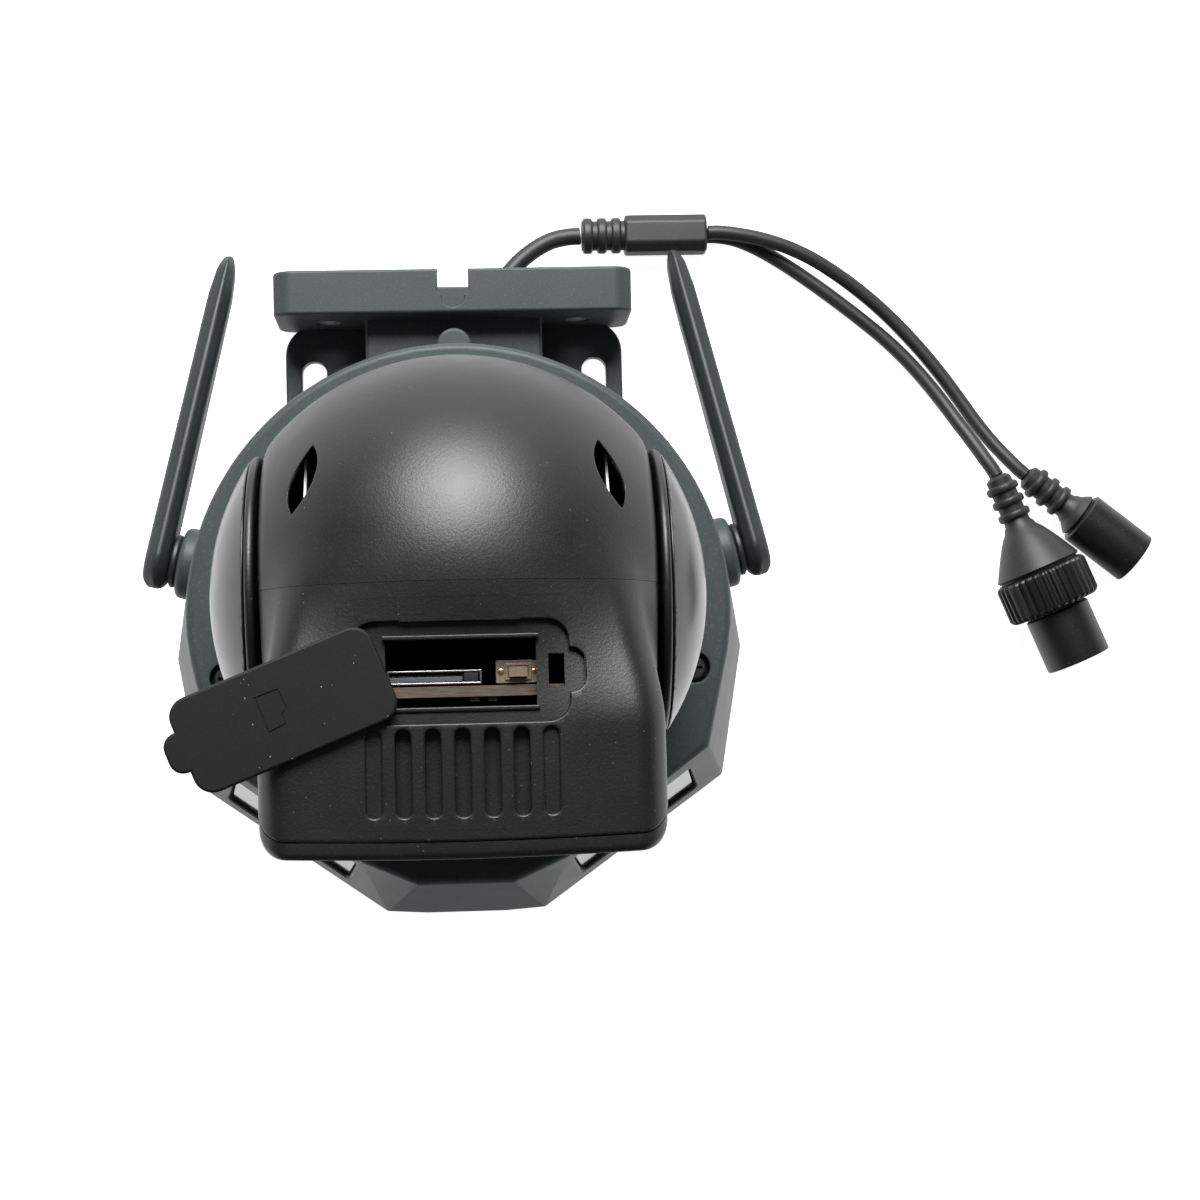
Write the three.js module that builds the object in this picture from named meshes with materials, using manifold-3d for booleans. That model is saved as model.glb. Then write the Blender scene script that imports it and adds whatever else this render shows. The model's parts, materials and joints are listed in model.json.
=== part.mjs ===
// Pan-and-tilt outdoor security camera with an L-shaped wall or ceiling bracket.
// Millimetres, +Z up. The camera rests on the ceiling face of its bracket, so the ball head is on top.
// The origin is where the pan axis meets that face. The wall face looks to +Y and the lens to -Y.
import * as THREE from 'three';
import { ConvexGeometry } from 'three/addons/geometries/ConvexGeometry.js';
import { mergeVertices } from 'three/addons/utils/BufferGeometryUtils.js';
import Module from 'manifold-3d';

const wasm = await Module();
wasm.setup();

// ---- Driving dimensions ----
const GAP = 0.3;                    // clearance between neighbouring pieces

const PLATE = { half: 33, front: -24, rear: 59, thick: 3, corner: 6 };
const TRAY = { half: 34.2, front: 58, rear: 66.5, high: 20, wall: 2, corner: 3.6 };
const NECK = { half: 17, top: 13, hollowHalf: 14, hollowTop: 11 };
const KEYHOLE = { x: 27.4, neck: 2.4, head: 4.2, headY: 42, endY: 51.8 };
const WALL_HOLE = { x: 24, radius: 2.2 };

const BASE = { radius: 49.7, bottom: 3.4, flare: 10, top: 35, wall: 2.6, ceiling: 30.4 };
// Corners of the flared front on the +X side, from the side to the middle, on each level.
const FRONT_TOP = [[49.6, -3], [48.9, -8], [45, -25.5], [18.7, -45], [8.8, -49.3]];
const FRONT_LOW = [[51.6, -1.5], [54, -6], [49.7, -30.8], [15, -55.2], [7.5, -55.7]];
const PAN_SEAT = { radius: 40.4, floor: 32.7 };
const HUB = { outer: 12, bore: 6, low: 10 };
const LAMP = { half: 13.5, halfHigh: 8, pocket: 1.8, lip: 1.5 };
const BASE_SCREW = { x: 42.6, y: -11 };
const BRACKET_SCREW_X = 20;

const ANTENNA = { turn: 12.5, z: 20, pitch: 9, hubAt: 53.5, bladeAt: 54.9, thick: 4.6 };
const BLADE = { rootRadius: 5.8, tipRadius: 3.6, reach: 57.4 };

const GEAR = { module: 1, panTeeth: 44, pinionTeeth: 12, low: 26, high: 29.6 };
const PINION_Y = -GEAR.module * (GEAR.panTeeth + GEAR.pinionTeeth) / 2;

const TILT_Z = 78;
const DISC = { radius: 40, low: 33.4, top: 35.6 };
const EAR = { radius: 40.5, skirt: 39.9, plate: 31.6, plateThick: 2, half: 25.2, wall: 1.8 };

const HEAD = { radius: 39.6, half: 31, wall: 2 };
const NOSE = { half: 30.5, rear: -4, face: -38.6, low: 50, top: 117, corner: 5, wall: 2.5 };
const BEZEL = { front: -41.2, half: 26, low: 55, top: 112, corner: 4 };
const PIVOT_HOLE = 5.4;
const LENS_Z = 82;

const DOOR = {
  half: 15.9, y: -13.6, high: 14.8, corner: 3, lobe: 18.3, low: 117.4, thick: 1.5, open: -158.3,
};
const LATCH = { x0: 13, x1: 15.4, half: 2.5 };
const SOCKET = { x0: -11.1, x1: 3.1, low: 97.4, thick: 2.1 };
const SWITCH = { x0: 5.2, x1: 11.4, low: 108.6, thick: 3.4 };
const PEG = { x: -13.5, radius: 1.3, low: 113 };
const RECESS_FLOOR = 115.7;
const HATCH = { half: 11.2, front: -19.2, rear: -8.3 };
const VENT = { pitch: 4.38, half: 1.15, front: -35, rear: -22, count: 7 };
const BOARD = { front: -17.2, rear: -15.6, half: 24, low: 56, top: 112 };

const CABLE_R = 1.7;
const BRANCH_R = 1.4;
const GLAND = { x: 6, z: 7.2, radius: 3.2, neck: 2.7, face: 51.2 };
const JUNCTION = { y: 75.7, z: 4.1, start: 25.6, block: 34, end: 50.2, half: 3.7 };
const NETWORK_PLUG = { at: [105.6, 25.6, 9.4], heading: [0.378, -0.926] };
const POWER_PLUG = { at: [112.4, 26.2, 5.5], heading: [0.78, -0.626] };

// Centre lines of the three cables, chosen by hand from where each leaves to where it ends.
const MAIN_ROUTE = [
  [6, 51.5, 7.2], [6, 53.6, 7.2], [6.1, 56, 7.1], [6.8, 59.6, 6.9], [8.2, 63.4, 6.5], [10.2, 67, 6],
  [12.9, 70.2, 5.4], [16, 72.8, 4.8], [19.4, 74.7, 4.4], [22.6, 75.5, 4.15], [25.3, 75.7, 4.1],
];
const NETWORK_ROUTE = [
  [50.5, 75.7, 2.4], [53, 75.6, 2.3], [56.6, 74.9, 2.05], [61, 73, 1.75], [66, 70, 1.6], [71, 66.5, 1.5],
  [76, 62.7, 1.5], [81, 58.7, 1.5], [85.6, 54.7, 1.6], [89.6, 50.6, 1.9], [93.2, 46.2, 2.5],
  [96.4, 41.6, 3.5], [99.2, 37, 5], [101.6, 32.9, 6.8], [103.4, 29.6, 8.3], [104.7, 27.4, 9],
  [105.5, 25.9, 9.3],
];
const POWER_ROUTE = [
  [50.5, 75.7, 5.8], [53, 75.7, 5.75], [57, 75.2, 5.6], [61.4, 74.3, 5.2], [66, 72.9, 4.7], [70.8, 70.8, 4],
  [75.4, 68.1, 3.2], [80, 64.9, 2.4], [84.8, 60.9, 1.8], [89.2, 56.5, 1.5], [93.2, 51.9, 1.5],
  [96.8, 47.2, 1.6], [100, 42.5, 1.9], [103, 37.8, 2.5], [105.9, 33.6, 3.4], [108.6, 30.2, 4.4],
  [110.6, 27.9, 5.1], [112.1, 26.4, 5.4],
];

// ---- Materials ----
const finish = (color, roughness, metalness = 0) => ({ color, roughness, metalness });
const SLATE = finish(0x4a5250, 0.55);
const BLACK = finish(0x1b1b1c, 0.45);
const GLOSS = finish(0x161617, 0.2);
const RUBBER = finish(0x202022, 0.85);
const SMOKE = finish(0x0c0d10, 0.1);
const BOARD_GREEN = finish(0x23402c, 0.6);
const STEEL = finish(0xb9bcc0, 0.3, 0.9);
const NYLON = finish(0xd8d6cc, 0.6);
const AMBER = finish(0x8a7458, 0.5);

// ---- Solids from three.js geometries ----
function solid(geometry) {
  geometry.deleteAttribute('normal');
  geometry.deleteAttribute('uv');
  const merged = mergeVertices(geometry, 1e-4);
  return new wasm.Manifold(new wasm.Mesh({
    numProp: 3,
    vertProperties: new Float32Array(merged.attributes.position.array),
    triVerts: new Uint32Array(merged.index.array),
  }));
}

function geometryOf(body) {
  const mesh = body.getMesh();
  const geometry = new THREE.BufferGeometry();
  geometry.setAttribute('position', new THREE.BufferAttribute(mesh.vertProperties, 3));
  geometry.setIndex(new THREE.BufferAttribute(mesh.triVerts, 1));
  geometry.computeVertexNormals();
  return geometry;
}

const join = (first, ...others) => others.reduce((sum, other) => sum.add(other), first);
const cut = (first, ...tools) => tools.reduce((rest, tool) => rest.subtract(tool), first);
const common = (first, other) => first.intersect(other);
const rad = THREE.MathUtils.degToRad;

function box(x0, x1, y0, y1, z0, z1, place = null) {
  const geometry = new THREE.BoxGeometry(x1 - x0, y1 - y0, z1 - z0);
  geometry.translate((x0 + x1) / 2, (y0 + y1) / 2, (z0 + z1) / 2);
  if (place) geometry.applyMatrix4(place);
  return solid(geometry);
}

function rodZ(x, y, radius, z0, z1, sides = 16) {
  const geometry = new THREE.CylinderGeometry(radius, radius, z1 - z0, sides);
  geometry.rotateX(Math.PI / 2).translate(x, y, (z0 + z1) / 2);
  return solid(geometry);
}

function rodY(x, z, radius, y0, y1, sides = 16) {
  const geometry = new THREE.CylinderGeometry(radius, radius, y1 - y0, sides);
  return solid(geometry.translate(x, (y0 + y1) / 2, z));
}

// A round bar or cone along X, turned by an optional placement.
function rodX(y, z, radius, x0, x1, sides = 16, endRadius = radius, place = null) {
  const geometry = new THREE.CylinderGeometry(radius, endRadius, x1 - x0, sides);
  geometry.rotateZ(Math.PI / 2).translate((x0 + x1) / 2, y, z);
  if (place) geometry.applyMatrix4(place);
  return solid(geometry);
}

function ball(radius, z, around = 32) {
  const geometry = new THREE.SphereGeometry(radius, around, around / 2);
  return solid(geometry.rotateX(Math.PI / 2).translate(0, 0, z));
}

function roundedRect(x0, x1, y0, y1, r) {
  const shape = new THREE.Shape();
  shape.absarc(x1 - r, y0 + r, r, -Math.PI / 2, 0);
  shape.absarc(x1 - r, y1 - r, r, 0, Math.PI / 2);
  shape.absarc(x0 + r, y1 - r, r, Math.PI / 2, Math.PI);
  shape.absarc(x0 + r, y0 + r, r, Math.PI, 1.5 * Math.PI);
  return shape;
}

const outline = (points) => new THREE.Shape(points.map(([x, y]) => new THREE.Vector2(x, y)));

function extruded(shape, depth, curveSegments) {
  return new THREE.ExtrudeGeometry(shape, { depth, curveSegments, bevelEnabled: false });
}

const prismZ = (shape, z0, z1, arc = 3) => solid(extruded(shape, z1 - z0, arc).translate(0, 0, z0));

// The shape's x and y are the object's Y and Z.
function prismX(shape, x0, x1, arc = 3) {
  const turn = new THREE.Matrix4().makeBasis(
    new THREE.Vector3(0, 1, 0), new THREE.Vector3(0, 0, 1), new THREE.Vector3(1, 0, 0));
  return solid(extruded(shape, x1 - x0, arc).applyMatrix4(turn).translate(x0, 0, 0));
}

// The shape's x and y are the object's X and Z.
function prismY(shape, y0, y1, arc = 3) {
  return solid(extruded(shape, y1 - y0, arc).rotateX(Math.PI / 2).translate(0, y1, 0));
}

function convex(points) {
  return solid(new ConvexGeometry(points.map(([x, y, z]) => new THREE.Vector3(x, y, z))));
}

function tube(route, radius, sides, steps) {
  const path = new THREE.CatmullRomCurve3(route.map((point) => new THREE.Vector3(...point)));
  const ring = [...Array(sides).keys()].map((i) => {
    const angle = 2 * Math.PI * (i + 0.5) / sides;
    return [radius * Math.cos(angle), radius * Math.sin(angle)];
  });
  return solid(new THREE.ExtrudeGeometry(outline(ring), { steps, bevelEnabled: false, extrudePath: path }));
}

// ---- Assembly ----
const group = new THREE.Group();

function add(name, body, look, parent = group) {
  const mesh = new THREE.Mesh(geometryOf(body), new THREE.MeshStandardMaterial(look));
  mesh.name = name;
  parent.add(mesh);
}

const sides = [['left', -1], ['right', 1]];

// ---- Bracket ----
function mountBracket() {
  const plateShape = roundedRect(-PLATE.half, PLATE.half, PLATE.front, PLATE.rear, PLATE.corner);
  const plate = prismZ(plateShape, 0, PLATE.thick);
  const tray = prismY(roundedRect(-TRAY.half, TRAY.half, 0, TRAY.high, TRAY.corner), TRAY.front, TRAY.rear);
  const w = TRAY.wall;
  const hollow = prismY(
    roundedRect(w - TRAY.half, TRAY.half - w, w, TRAY.high - w, 2), TRAY.front + w, TRAY.rear + 1);
  const neck = cut(
    box(-NECK.half, NECK.half, 44, TRAY.front + 1, PLATE.thick - 1, NECK.top),
    rodZ(0, 0, BASE.radius + 0.6, PLATE.thick, NECK.top + 1, 56));
  const channel = box(-NECK.hollowHalf, NECK.hollowHalf, 40, TRAY.front + w + 0.5, -1, NECK.hollowTop);
  const notch = prismZ(roundedRect(-2.9, 2.9, 61.5, 70, 1), TRAY.high - w - 1, TRAY.high + 1);
  const dent = rodZ(0, 61.3, 2.2, TRAY.high - 0.6, TRAY.high + 1, 10);
  const tools = [hollow, channel, notch, dent];
  for (const [, side] of sides) {
    const x = side * KEYHOLE.x;
    const slot = roundedRect(
      x - KEYHOLE.neck, x + KEYHOLE.neck, KEYHOLE.headY, KEYHOLE.endY, KEYHOLE.neck - 0.01);
    tools.push(prismZ(slot, -1, PLATE.thick + 1));
    tools.push(rodZ(x, KEYHOLE.headY, KEYHOLE.head, -1, PLATE.thick + 1));
    tools.push(rodY(
      side * WALL_HOLE.x, TRAY.high / 2, WALL_HOLE.radius, TRAY.front - 1, TRAY.front + w + 1, 10));
    tools.push(rodZ(side * BRACKET_SCREW_X, 0, 1.8, -1, PLATE.thick + 1, 10));
    tools.push(rodZ(side * BRACKET_SCREW_X, 0, 3.4, -1, 1.9, 14));
  }
  return cut(join(plate, tray, neck), ...tools);
}

function bracketScrew(side) {
  const x = side * BRACKET_SCREW_X;
  return join(rodZ(x, 0, 3, 0.2, 1.7, 12), rodZ(x, 0, 1.4, 1.5, 9, 8));
}

// ---- Base housing: round at the rear, faceted and flared at the front ----
function baseOutline(front, inset) {
  const points = [];
  const steps = 28;
  for (let i = 0; i <= steps; i += 1) {
    const angle = Math.PI * i / steps;
    points.push([BASE.radius * Math.cos(angle), BASE.radius * Math.sin(angle)]);
  }
  points.push(...front.map(([x, y]) => [-x, y]), ...[...front].reverse());
  return points.map(([x, y]) => {
    const length = Math.hypot(x, y);
    return [x * (1 - inset / length), y * (1 - inset / length)];
  });
}

const level = (points, z) => points.map(([x, y]) => [x, y, z]);

// The middle of a lamp facet, with X along it, Y up its slope and Z out of it.
function lampPlace(side) {
  const corner = ([x, y], z) => new THREE.Vector3(side * x, y, z);
  const topSide = corner(FRONT_TOP[2], BASE.top);
  const topMiddle = corner(FRONT_TOP[3], BASE.top);
  const lowSide = corner(FRONT_LOW[2], BASE.flare);
  const lowMiddle = corner(FRONT_LOW[3], BASE.flare);
  const top = topSide.clone().add(topMiddle).multiplyScalar(0.5);
  const low = lowSide.clone().add(lowMiddle).multiplyScalar(0.5);
  const along = lowSide.clone().sub(lowMiddle).multiplyScalar(side).normalize();
  const slope = top.clone().sub(low);
  slope.addScaledVector(along, -slope.dot(along)).normalize();
  const out = along.clone().cross(slope);
  return new THREE.Matrix4().makeBasis(along, slope, out).setPosition(top.add(low).multiplyScalar(0.5));
}

const antennaTurn = (side) => (side > 0 ? rad(ANTENNA.turn) : Math.PI - rad(ANTENNA.turn));
const antennaPlace = (side) => (
  new THREE.Matrix4().makeRotationZ(antennaTurn(side)).setPosition(0, 0, ANTENNA.z));

function baseHousing() {
  const top = baseOutline(FRONT_TOP, 0);
  const low = baseOutline(FRONT_LOW, 0);
  const innerTop = baseOutline(FRONT_TOP, BASE.wall);
  const innerLow = baseOutline(FRONT_LOW, BASE.wall);
  const shell = convex([...level(top, BASE.top), ...level(low, BASE.flare), ...level(low, BASE.bottom)]);
  const inside = convex([
    ...level(innerTop, BASE.ceiling), ...level(innerLow, BASE.flare), ...level(innerLow, BASE.bottom - 1)]);
  const bosses = [rodZ(0, 50.4, 3.2, 14, 28, 16)];
  const tools = [
    rodZ(0, 0, PAN_SEAT.radius, PAN_SEAT.floor, BASE.top + 1, 44),
    rodZ(0, 0, 16, BASE.ceiling - 1, PAN_SEAT.floor + 1, 28),
    rodY(GLAND.x, GLAND.z, GLAND.neck + GAP, 45, 52, 16),
  ];
  for (const [, side] of sides) {
    const lamp = lampPlace(side);
    bosses.push(rodX(0, 0, 6.7, 46, 53.2, 18, 6.7, antennaPlace(side)));
    tools.push(rodX(0, 0, 2.3, 44, 54, 10, 2.3, antennaPlace(side)));
    tools.push(box(-LAMP.half, LAMP.half, -LAMP.halfHigh, LAMP.halfHigh, -LAMP.pocket, 3, lamp));
    tools.push(box(
      LAMP.lip - LAMP.half, LAMP.half - LAMP.lip,
      LAMP.lip - LAMP.halfHigh, LAMP.halfHigh - LAMP.lip, -8, 3, lamp));
    tools.push(rodZ(side * BASE_SCREW.x, BASE_SCREW.y, 2.8, 31.8, BASE.top + 1, 14));
    tools.push(rodZ(side * BASE_SCREW.x, BASE_SCREW.y, 1.5, BASE.ceiling - 1, 32, 8));
  }
  return cut(join(cut(shell, inside), ...bosses), inside, ...tools);
}

function baseCover() {
  const plate = prismZ(outline(baseOutline(FRONT_LOW, BASE.wall + 0.6)), BASE.bottom + 0.2, 5.6);
  return cut(plate, ...sides.map(([, side]) => rodZ(side * BRACKET_SCREW_X, 0, 1.8, 3, 6, 8)));
}

function baseScrew(side) {
  const x = side * BASE_SCREW.x;
  const head = cut(
    rodZ(x, BASE_SCREW.y, 2.4, 32.1, 33.8, 12),
    box(x - 1.7, x + 1.7, BASE_SCREW.y - 0.3, BASE_SCREW.y + 0.3, 33, 34),
    box(x - 0.3, x + 0.3, BASE_SCREW.y - 1.7, BASE_SCREW.y + 1.7, 33, 34));
  return join(head, rodZ(x, BASE_SCREW.y, 1.2, 24, 32.3, 8));
}

function lampWindow(side) {
  const edge = GAP;
  return box(
    edge - LAMP.half, LAMP.half - edge,
    edge - LAMP.halfHigh, LAMP.halfHigh - edge, -1.5, -0.7, lampPlace(side));
}

function lampBoard(side) {
  const place = lampPlace(side);
  const leds = [-8.4, -2.8, 2.8, 8.4].map((x) => box(x - 1.75, x + 1.75, -1.75, 1.75, -5.6, -4.3, place));
  return join(box(-11.6, 11.6, -5.8, 5.8, -7, -5.5, place), ...leds);
}

function baseBoard() {
  return join(
    box(-26, 26, 16, 38, 8, 9.6),
    box(-20, -8, 20, 32, 9.5, 11.5),
    box(8, 22, 18, 24, 9.5, 15),
    rodZ(-2, 30, 4, 9.5, 20, 16));
}

function cableGland() {
  return join(
    rodY(GLAND.x, GLAND.z, GLAND.radius, 49.7, GLAND.face, 20),
    rodY(GLAND.x, GLAND.z, GLAND.neck, 47, 49.8, 16));
}

// ---- Antennas ----
function antennaHub(side) {
  const place = antennaPlace(side);
  return join(
    rodX(0, 0, 2, 47.5, ANTENNA.hubAt + 0.2, 10, 2, place),
    rodX(0, 0, 5, ANTENNA.hubAt, ANTENNA.bladeAt - GAP, 16, 5, place));
}

// A flat paddle from the hub to its tip, square to the hub's axis and dipping a little at the tip.
function antennaBlade(side) {
  const dip = rad(ANTENNA.pitch);
  const tip = [side * BLADE.reach * Math.cos(dip), -BLADE.reach * Math.sin(dip)];
  const rim = (centre, radius, x) => [...Array(16).keys()].map((i) => {
    const angle = 2 * Math.PI * i / 16;
    return [x, centre[0] + radius * Math.cos(angle), centre[1] + radius * Math.sin(angle)];
  });
  const near = ANTENNA.bladeAt;
  const far = ANTENNA.bladeAt + ANTENNA.thick;
  const bevel = 1.2;
  const points = [
    ...rim([0, 0], BLADE.rootRadius, near + bevel), ...rim([0, 0], BLADE.rootRadius, far - bevel),
    ...rim([0, 0], BLADE.rootRadius - bevel, near), ...rim([0, 0], BLADE.rootRadius - bevel, far),
    ...rim(tip, BLADE.tipRadius, near + bevel), ...rim(tip, BLADE.tipRadius, far - bevel),
    ...rim(tip, BLADE.tipRadius - bevel, near), ...rim(tip, BLADE.tipRadius - bevel, far),
  ];
  const geometry = new ConvexGeometry(points.map((point) => new THREE.Vector3(...point)));
  return solid(geometry.applyMatrix4(antennaPlace(side)));
}

// ---- Pan drive ----
function gear(teeth, bore, z0, z1) {
  const pitch = GEAR.module * teeth / 2;
  const root = pitch - 1.1 * GEAR.module;
  const tip = pitch + 0.75 * GEAR.module;
  const step = 2 * Math.PI / teeth;
  const points = [];
  for (let i = 0; i < teeth; i += 1) {
    for (const [radius, turn] of [[root, -0.29], [tip, -0.11], [tip, 0.11], [root, 0.29]]) {
      const angle = (i + turn) * step;
      points.push([radius * Math.cos(angle), radius * Math.sin(angle)]);
    }
  }
  const body = prismZ(outline(points), z0, z1);
  return bore > 0 ? cut(body, rodZ(0, 0, bore, z0 - 1, z1 + 1, 28)) : body;
}

function panMotor() {
  const body = join(
    rodZ(0, PINION_Y, 11.8, 7, 23.5, 24),
    box(-17, 17, PINION_Y - 3.5, PINION_Y + 3.5, 22.4, 23.4),
    rodZ(0, PINION_Y, 4, 23, 24.6, 12));
  return cut(body, rodZ(0, PINION_Y, 1.6, 17, 25, 12));
}

// One tooth gap of the pinion faces the tooth of the pan gear that points to it.
function panPinion() {
  const turned = gear(GEAR.pinionTeeth, 0, GEAR.low, GEAR.high).rotate([0, 0, 90 + 180 / GEAR.pinionTeeth]);
  return join(turned, rodZ(0, 0, 1.25, 18, GEAR.high + GAP, 12)).translate([0, PINION_Y, 0]);
}

const panBush = () => cut(rodZ(0, 0, 15.6, 30.2, 33.1, 28), rodZ(0, 0, HUB.outer + 0.5, 30, 34, 28));

// ---- Yoke and ears ----
// The round column above the turntable that the arms and ear covers stay in.
const discColumn = () => rodZ(0, 0, EAR.skirt, 30, 110, 44);

// Side view of an arm: a disc about the tilt axis that runs straight down to the turntable.
function armProfile(inset, low) {
  const half = EAR.half - inset;
  const shape = new THREE.Shape();
  shape.moveTo(-half, low);
  shape.lineTo(half, low);
  shape.absarc(0, TILT_Z, half, 0, Math.PI);
  return shape;
}

function panYoke() {
  const plates = sides.map(([, side]) => {
    const edges = [side * EAR.plate, side * (EAR.plate + EAR.plateThick)].sort((a, b) => a - b);
    return common(prismX(armProfile(1.2, DISC.top - 0.5), edges[0], edges[1], 12), discColumn());
  });
  const body = join(
    rodZ(0, 0, DISC.radius, DISC.low, DISC.top, 44),
    rodZ(0, 0, HUB.outer, HUB.low, DISC.low + 0.5, 28),
    ...plates);
  return cut(
    body,
    rodZ(0, 0, HUB.bore, HUB.low - 1, DISC.top + 1, 16),
    rodX(0, TILT_Z, 5.3, -EAR.plate - 3, -EAR.plate + 1),
    rodX(0, TILT_Z, 2.7, EAR.plate - 1, EAR.plate + 3));
}

function earCover(side) {
  const wall = EAR.wall;
  const low = DISC.top + GAP;
  const start = EAR.plate + EAR.plateThick + GAP;
  const slab = (inset, from, floor) => (side > 0
    ? prismX(armProfile(inset, floor), from, 50, 12)
    : prismX(armProfile(inset, floor), -50, -from, 12));
  const bulk = (inset, floor) => join(
    ball(EAR.radius - inset, TILT_Z), rodZ(0, 0, EAR.skirt - inset, floor, TILT_Z, 44));
  return cut(
    common(bulk(0, low), slab(0, start, low)),
    common(bulk(wall, low + wall), slab(wall, start - 1, low + wall)));
}

const tiltBush = () => cut(rodX(0, TILT_Z, 4.9, -35.4, -27), rodX(0, TILT_Z, 3, -36, -26, 10));
const tiltShaft = () => rodX(0, TILT_Z, 2.3, 21, 35.4, 12);

// ---- Head ----
function headBulk(inset, y0, y1) {
  const half = HEAD.half - inset;
  const around = inset > 0 ? 20 : 32;
  return common(
    ball(HEAD.radius - inset, TILT_Z, around), box(-half, half, y0, y1, TILT_Z - 60, TILT_Z + 60));
}

const pivotHole = () => rodX(0, TILT_Z, PIVOT_HOLE, -40, 40);

function leafSlot(side) {
  const shape = new THREE.Shape();
  shape.moveTo(side * 22, 22.2);
  shape.quadraticCurveTo(side * 20, 17.6, side * 25, 11.4);
  shape.quadraticCurveTo(side * 26.8, 15.6, side * 22, 22.2);
  return prismZ(shape, TILT_Z + 10, TILT_Z + 40, 5);
}

function headRearShell() {
  const shell = cut(headBulk(0, GAP / 2, 60), headBulk(HEAD.wall, -1, 60));
  return cut(shell, pivotHole(), leafSlot(-1), leafSlot(1));
}

function doorShape(grow) {
  const y0 = DOOR.y - DOOR.high / 2 - grow;
  const y1 = DOOR.y + DOOR.high / 2 + grow;
  const plate = roundedRect(-DOOR.half - grow, DOOR.half + grow, y0, y1, DOOR.corner + grow);
  const lobe = roundedRect(DOOR.half - 4, DOOR.lobe + grow, DOOR.y - 3.1 - grow, DOOR.y + 3.1 + grow, 2);
  return [plate, lobe];
}

const doorSolid = (grow, z0, z1) => join(...doorShape(grow).map((shape) => prismZ(shape, z0, z1)));

function ventSlots() {
  return [...Array(VENT.count).keys()].map((i) => {
    const x = (i - (VENT.count - 1) / 2) * VENT.pitch;
    const blind = i === 0 || i === VENT.count - 1;
    const shape = roundedRect(x - VENT.half, x + VENT.half, VENT.front, VENT.rear, VENT.half - 0.01);
    return prismZ(shape, blind ? NOSE.top - 0.8 : NOSE.top - 6, NOSE.top + 1, 2);
  });
}

function headFrontShell() {
  const wall = NOSE.wall;
  const nose = prismY(
    roundedRect(-NOSE.half, NOSE.half, NOSE.low, NOSE.top, NOSE.corner), NOSE.face, NOSE.rear);
  const hollow = prismY(
    roundedRect(wall - NOSE.half, NOSE.half - wall, NOSE.low + wall, NOSE.top - wall, NOSE.corner - 2),
    NOSE.face - 1, NOSE.rear - 2);
  const shell = cut(
    join(headBulk(0, NOSE.face + 4, -GAP / 2), nose),
    headBulk(HEAD.wall, NOSE.face + 6, 1),
    hollow);
  return cut(
    shell, pivotHole(),
    doorSolid(0.2, RECESS_FLOOR, NOSE.top + 4),
    box(-HATCH.half, HATCH.half, HATCH.front, HATCH.rear, NOSE.top - 6, NOSE.top + 1),
    box(LATCH.x0, LATCH.x1, DOOR.y - LATCH.half, DOOR.y + LATCH.half, NOSE.top - 6, NOSE.top + 1),
    rodZ(PEG.x, DOOR.y, PEG.radius + 0.4, NOSE.top - 6, NOSE.top + 1, 10),
    ...ventSlots());
}

function frontBezel() {
  const frame = prismY(
    roundedRect(-NOSE.half, NOSE.half, NOSE.low, NOSE.top, NOSE.corner), BEZEL.front, NOSE.face - GAP);
  const opening = roundedRect(-BEZEL.half, BEZEL.half, BEZEL.low, BEZEL.top, BEZEL.corner);
  return cut(frame, prismY(opening, BEZEL.front - 1, NOSE.face + 1));
}

function frontWindow() {
  const shape = roundedRect(
    GAP - BEZEL.half, BEZEL.half - GAP, BEZEL.low + GAP, BEZEL.top - GAP, BEZEL.corner - GAP);
  return prismY(shape, BEZEL.front + 0.6, NOSE.face - 0.4);
}

function lensBarrel() {
  return join(
    box(-9, 9, -24, BOARD.front - GAP, LENS_Z - 9, LENS_Z + 9),
    rodY(0, LENS_Z, 7, -37.2, -23.5, 20));
}

const lensElement = () => rodY(0, LENS_Z, 5.4, -38.3, -37.5);
const mainBoard = () => box(-BOARD.half, BOARD.half, BOARD.front, BOARD.rear, BOARD.low, BOARD.top);

function cardSocket() {
  const rear = BOARD.rear + GAP;
  const shell = box(SOCKET.x0, SOCKET.x1, rear, rear + SOCKET.thick, SOCKET.low, BOARD.top + 0.2);
  return cut(shell, box(SOCKET.x0 + 0.9, SOCKET.x1 - 1.7, rear + 0.5, rear + 1.5, 100, BOARD.top + 1));
}

function resetSwitch() {
  const rear = BOARD.rear + GAP;
  return box(SWITCH.x0, SWITCH.x1, rear, rear + SWITCH.thick, SWITCH.low, BOARD.top);
}

function resetButton() {
  const rear = BOARD.rear + 1.2;
  return box(SWITCH.x0 + 2, SWITCH.x1 - 1.5, rear, rear + 1.5, BOARD.top + GAP, BOARD.top + 1.2);
}

function tiltMotor() {
  return cut(
    join(rodX(0, TILT_Z, 10, 15, 27.4, 20), rodX(0, TILT_Z, 4, 27, 28.6, 12)),
    rodX(0, TILT_Z, 2.7, 19.5, 29, 12));
}

const speaker = () => join(rodZ(0, -28.6, 9, 110.5, 113.4, 20), rodZ(0, -28.6, 5.6, 106, 111, 12));

function chassisPlate(side) {
  const edges = [side * 23.3, side * 23.7].sort((a, b) => a - b);
  return prismX(outline([[12, 66], [21, 66], [21, 96.5], [12, 102.5]]), edges[0], edges[1]);
}

// The door is drawn closed and then swung open about its peg.
function cardDoor() {
  const closed = join(
    doorSolid(0, DOOR.low, DOOR.low + DOOR.thick),
    rodZ(PEG.x, DOOR.y, PEG.radius, PEG.low, DOOR.low + 0.3, 10));
  return closed.translate([-PEG.x, -DOOR.y, 0]).rotate([0, 0, DOOR.open]).translate([PEG.x, DOOR.y, 0]);
}

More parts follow.
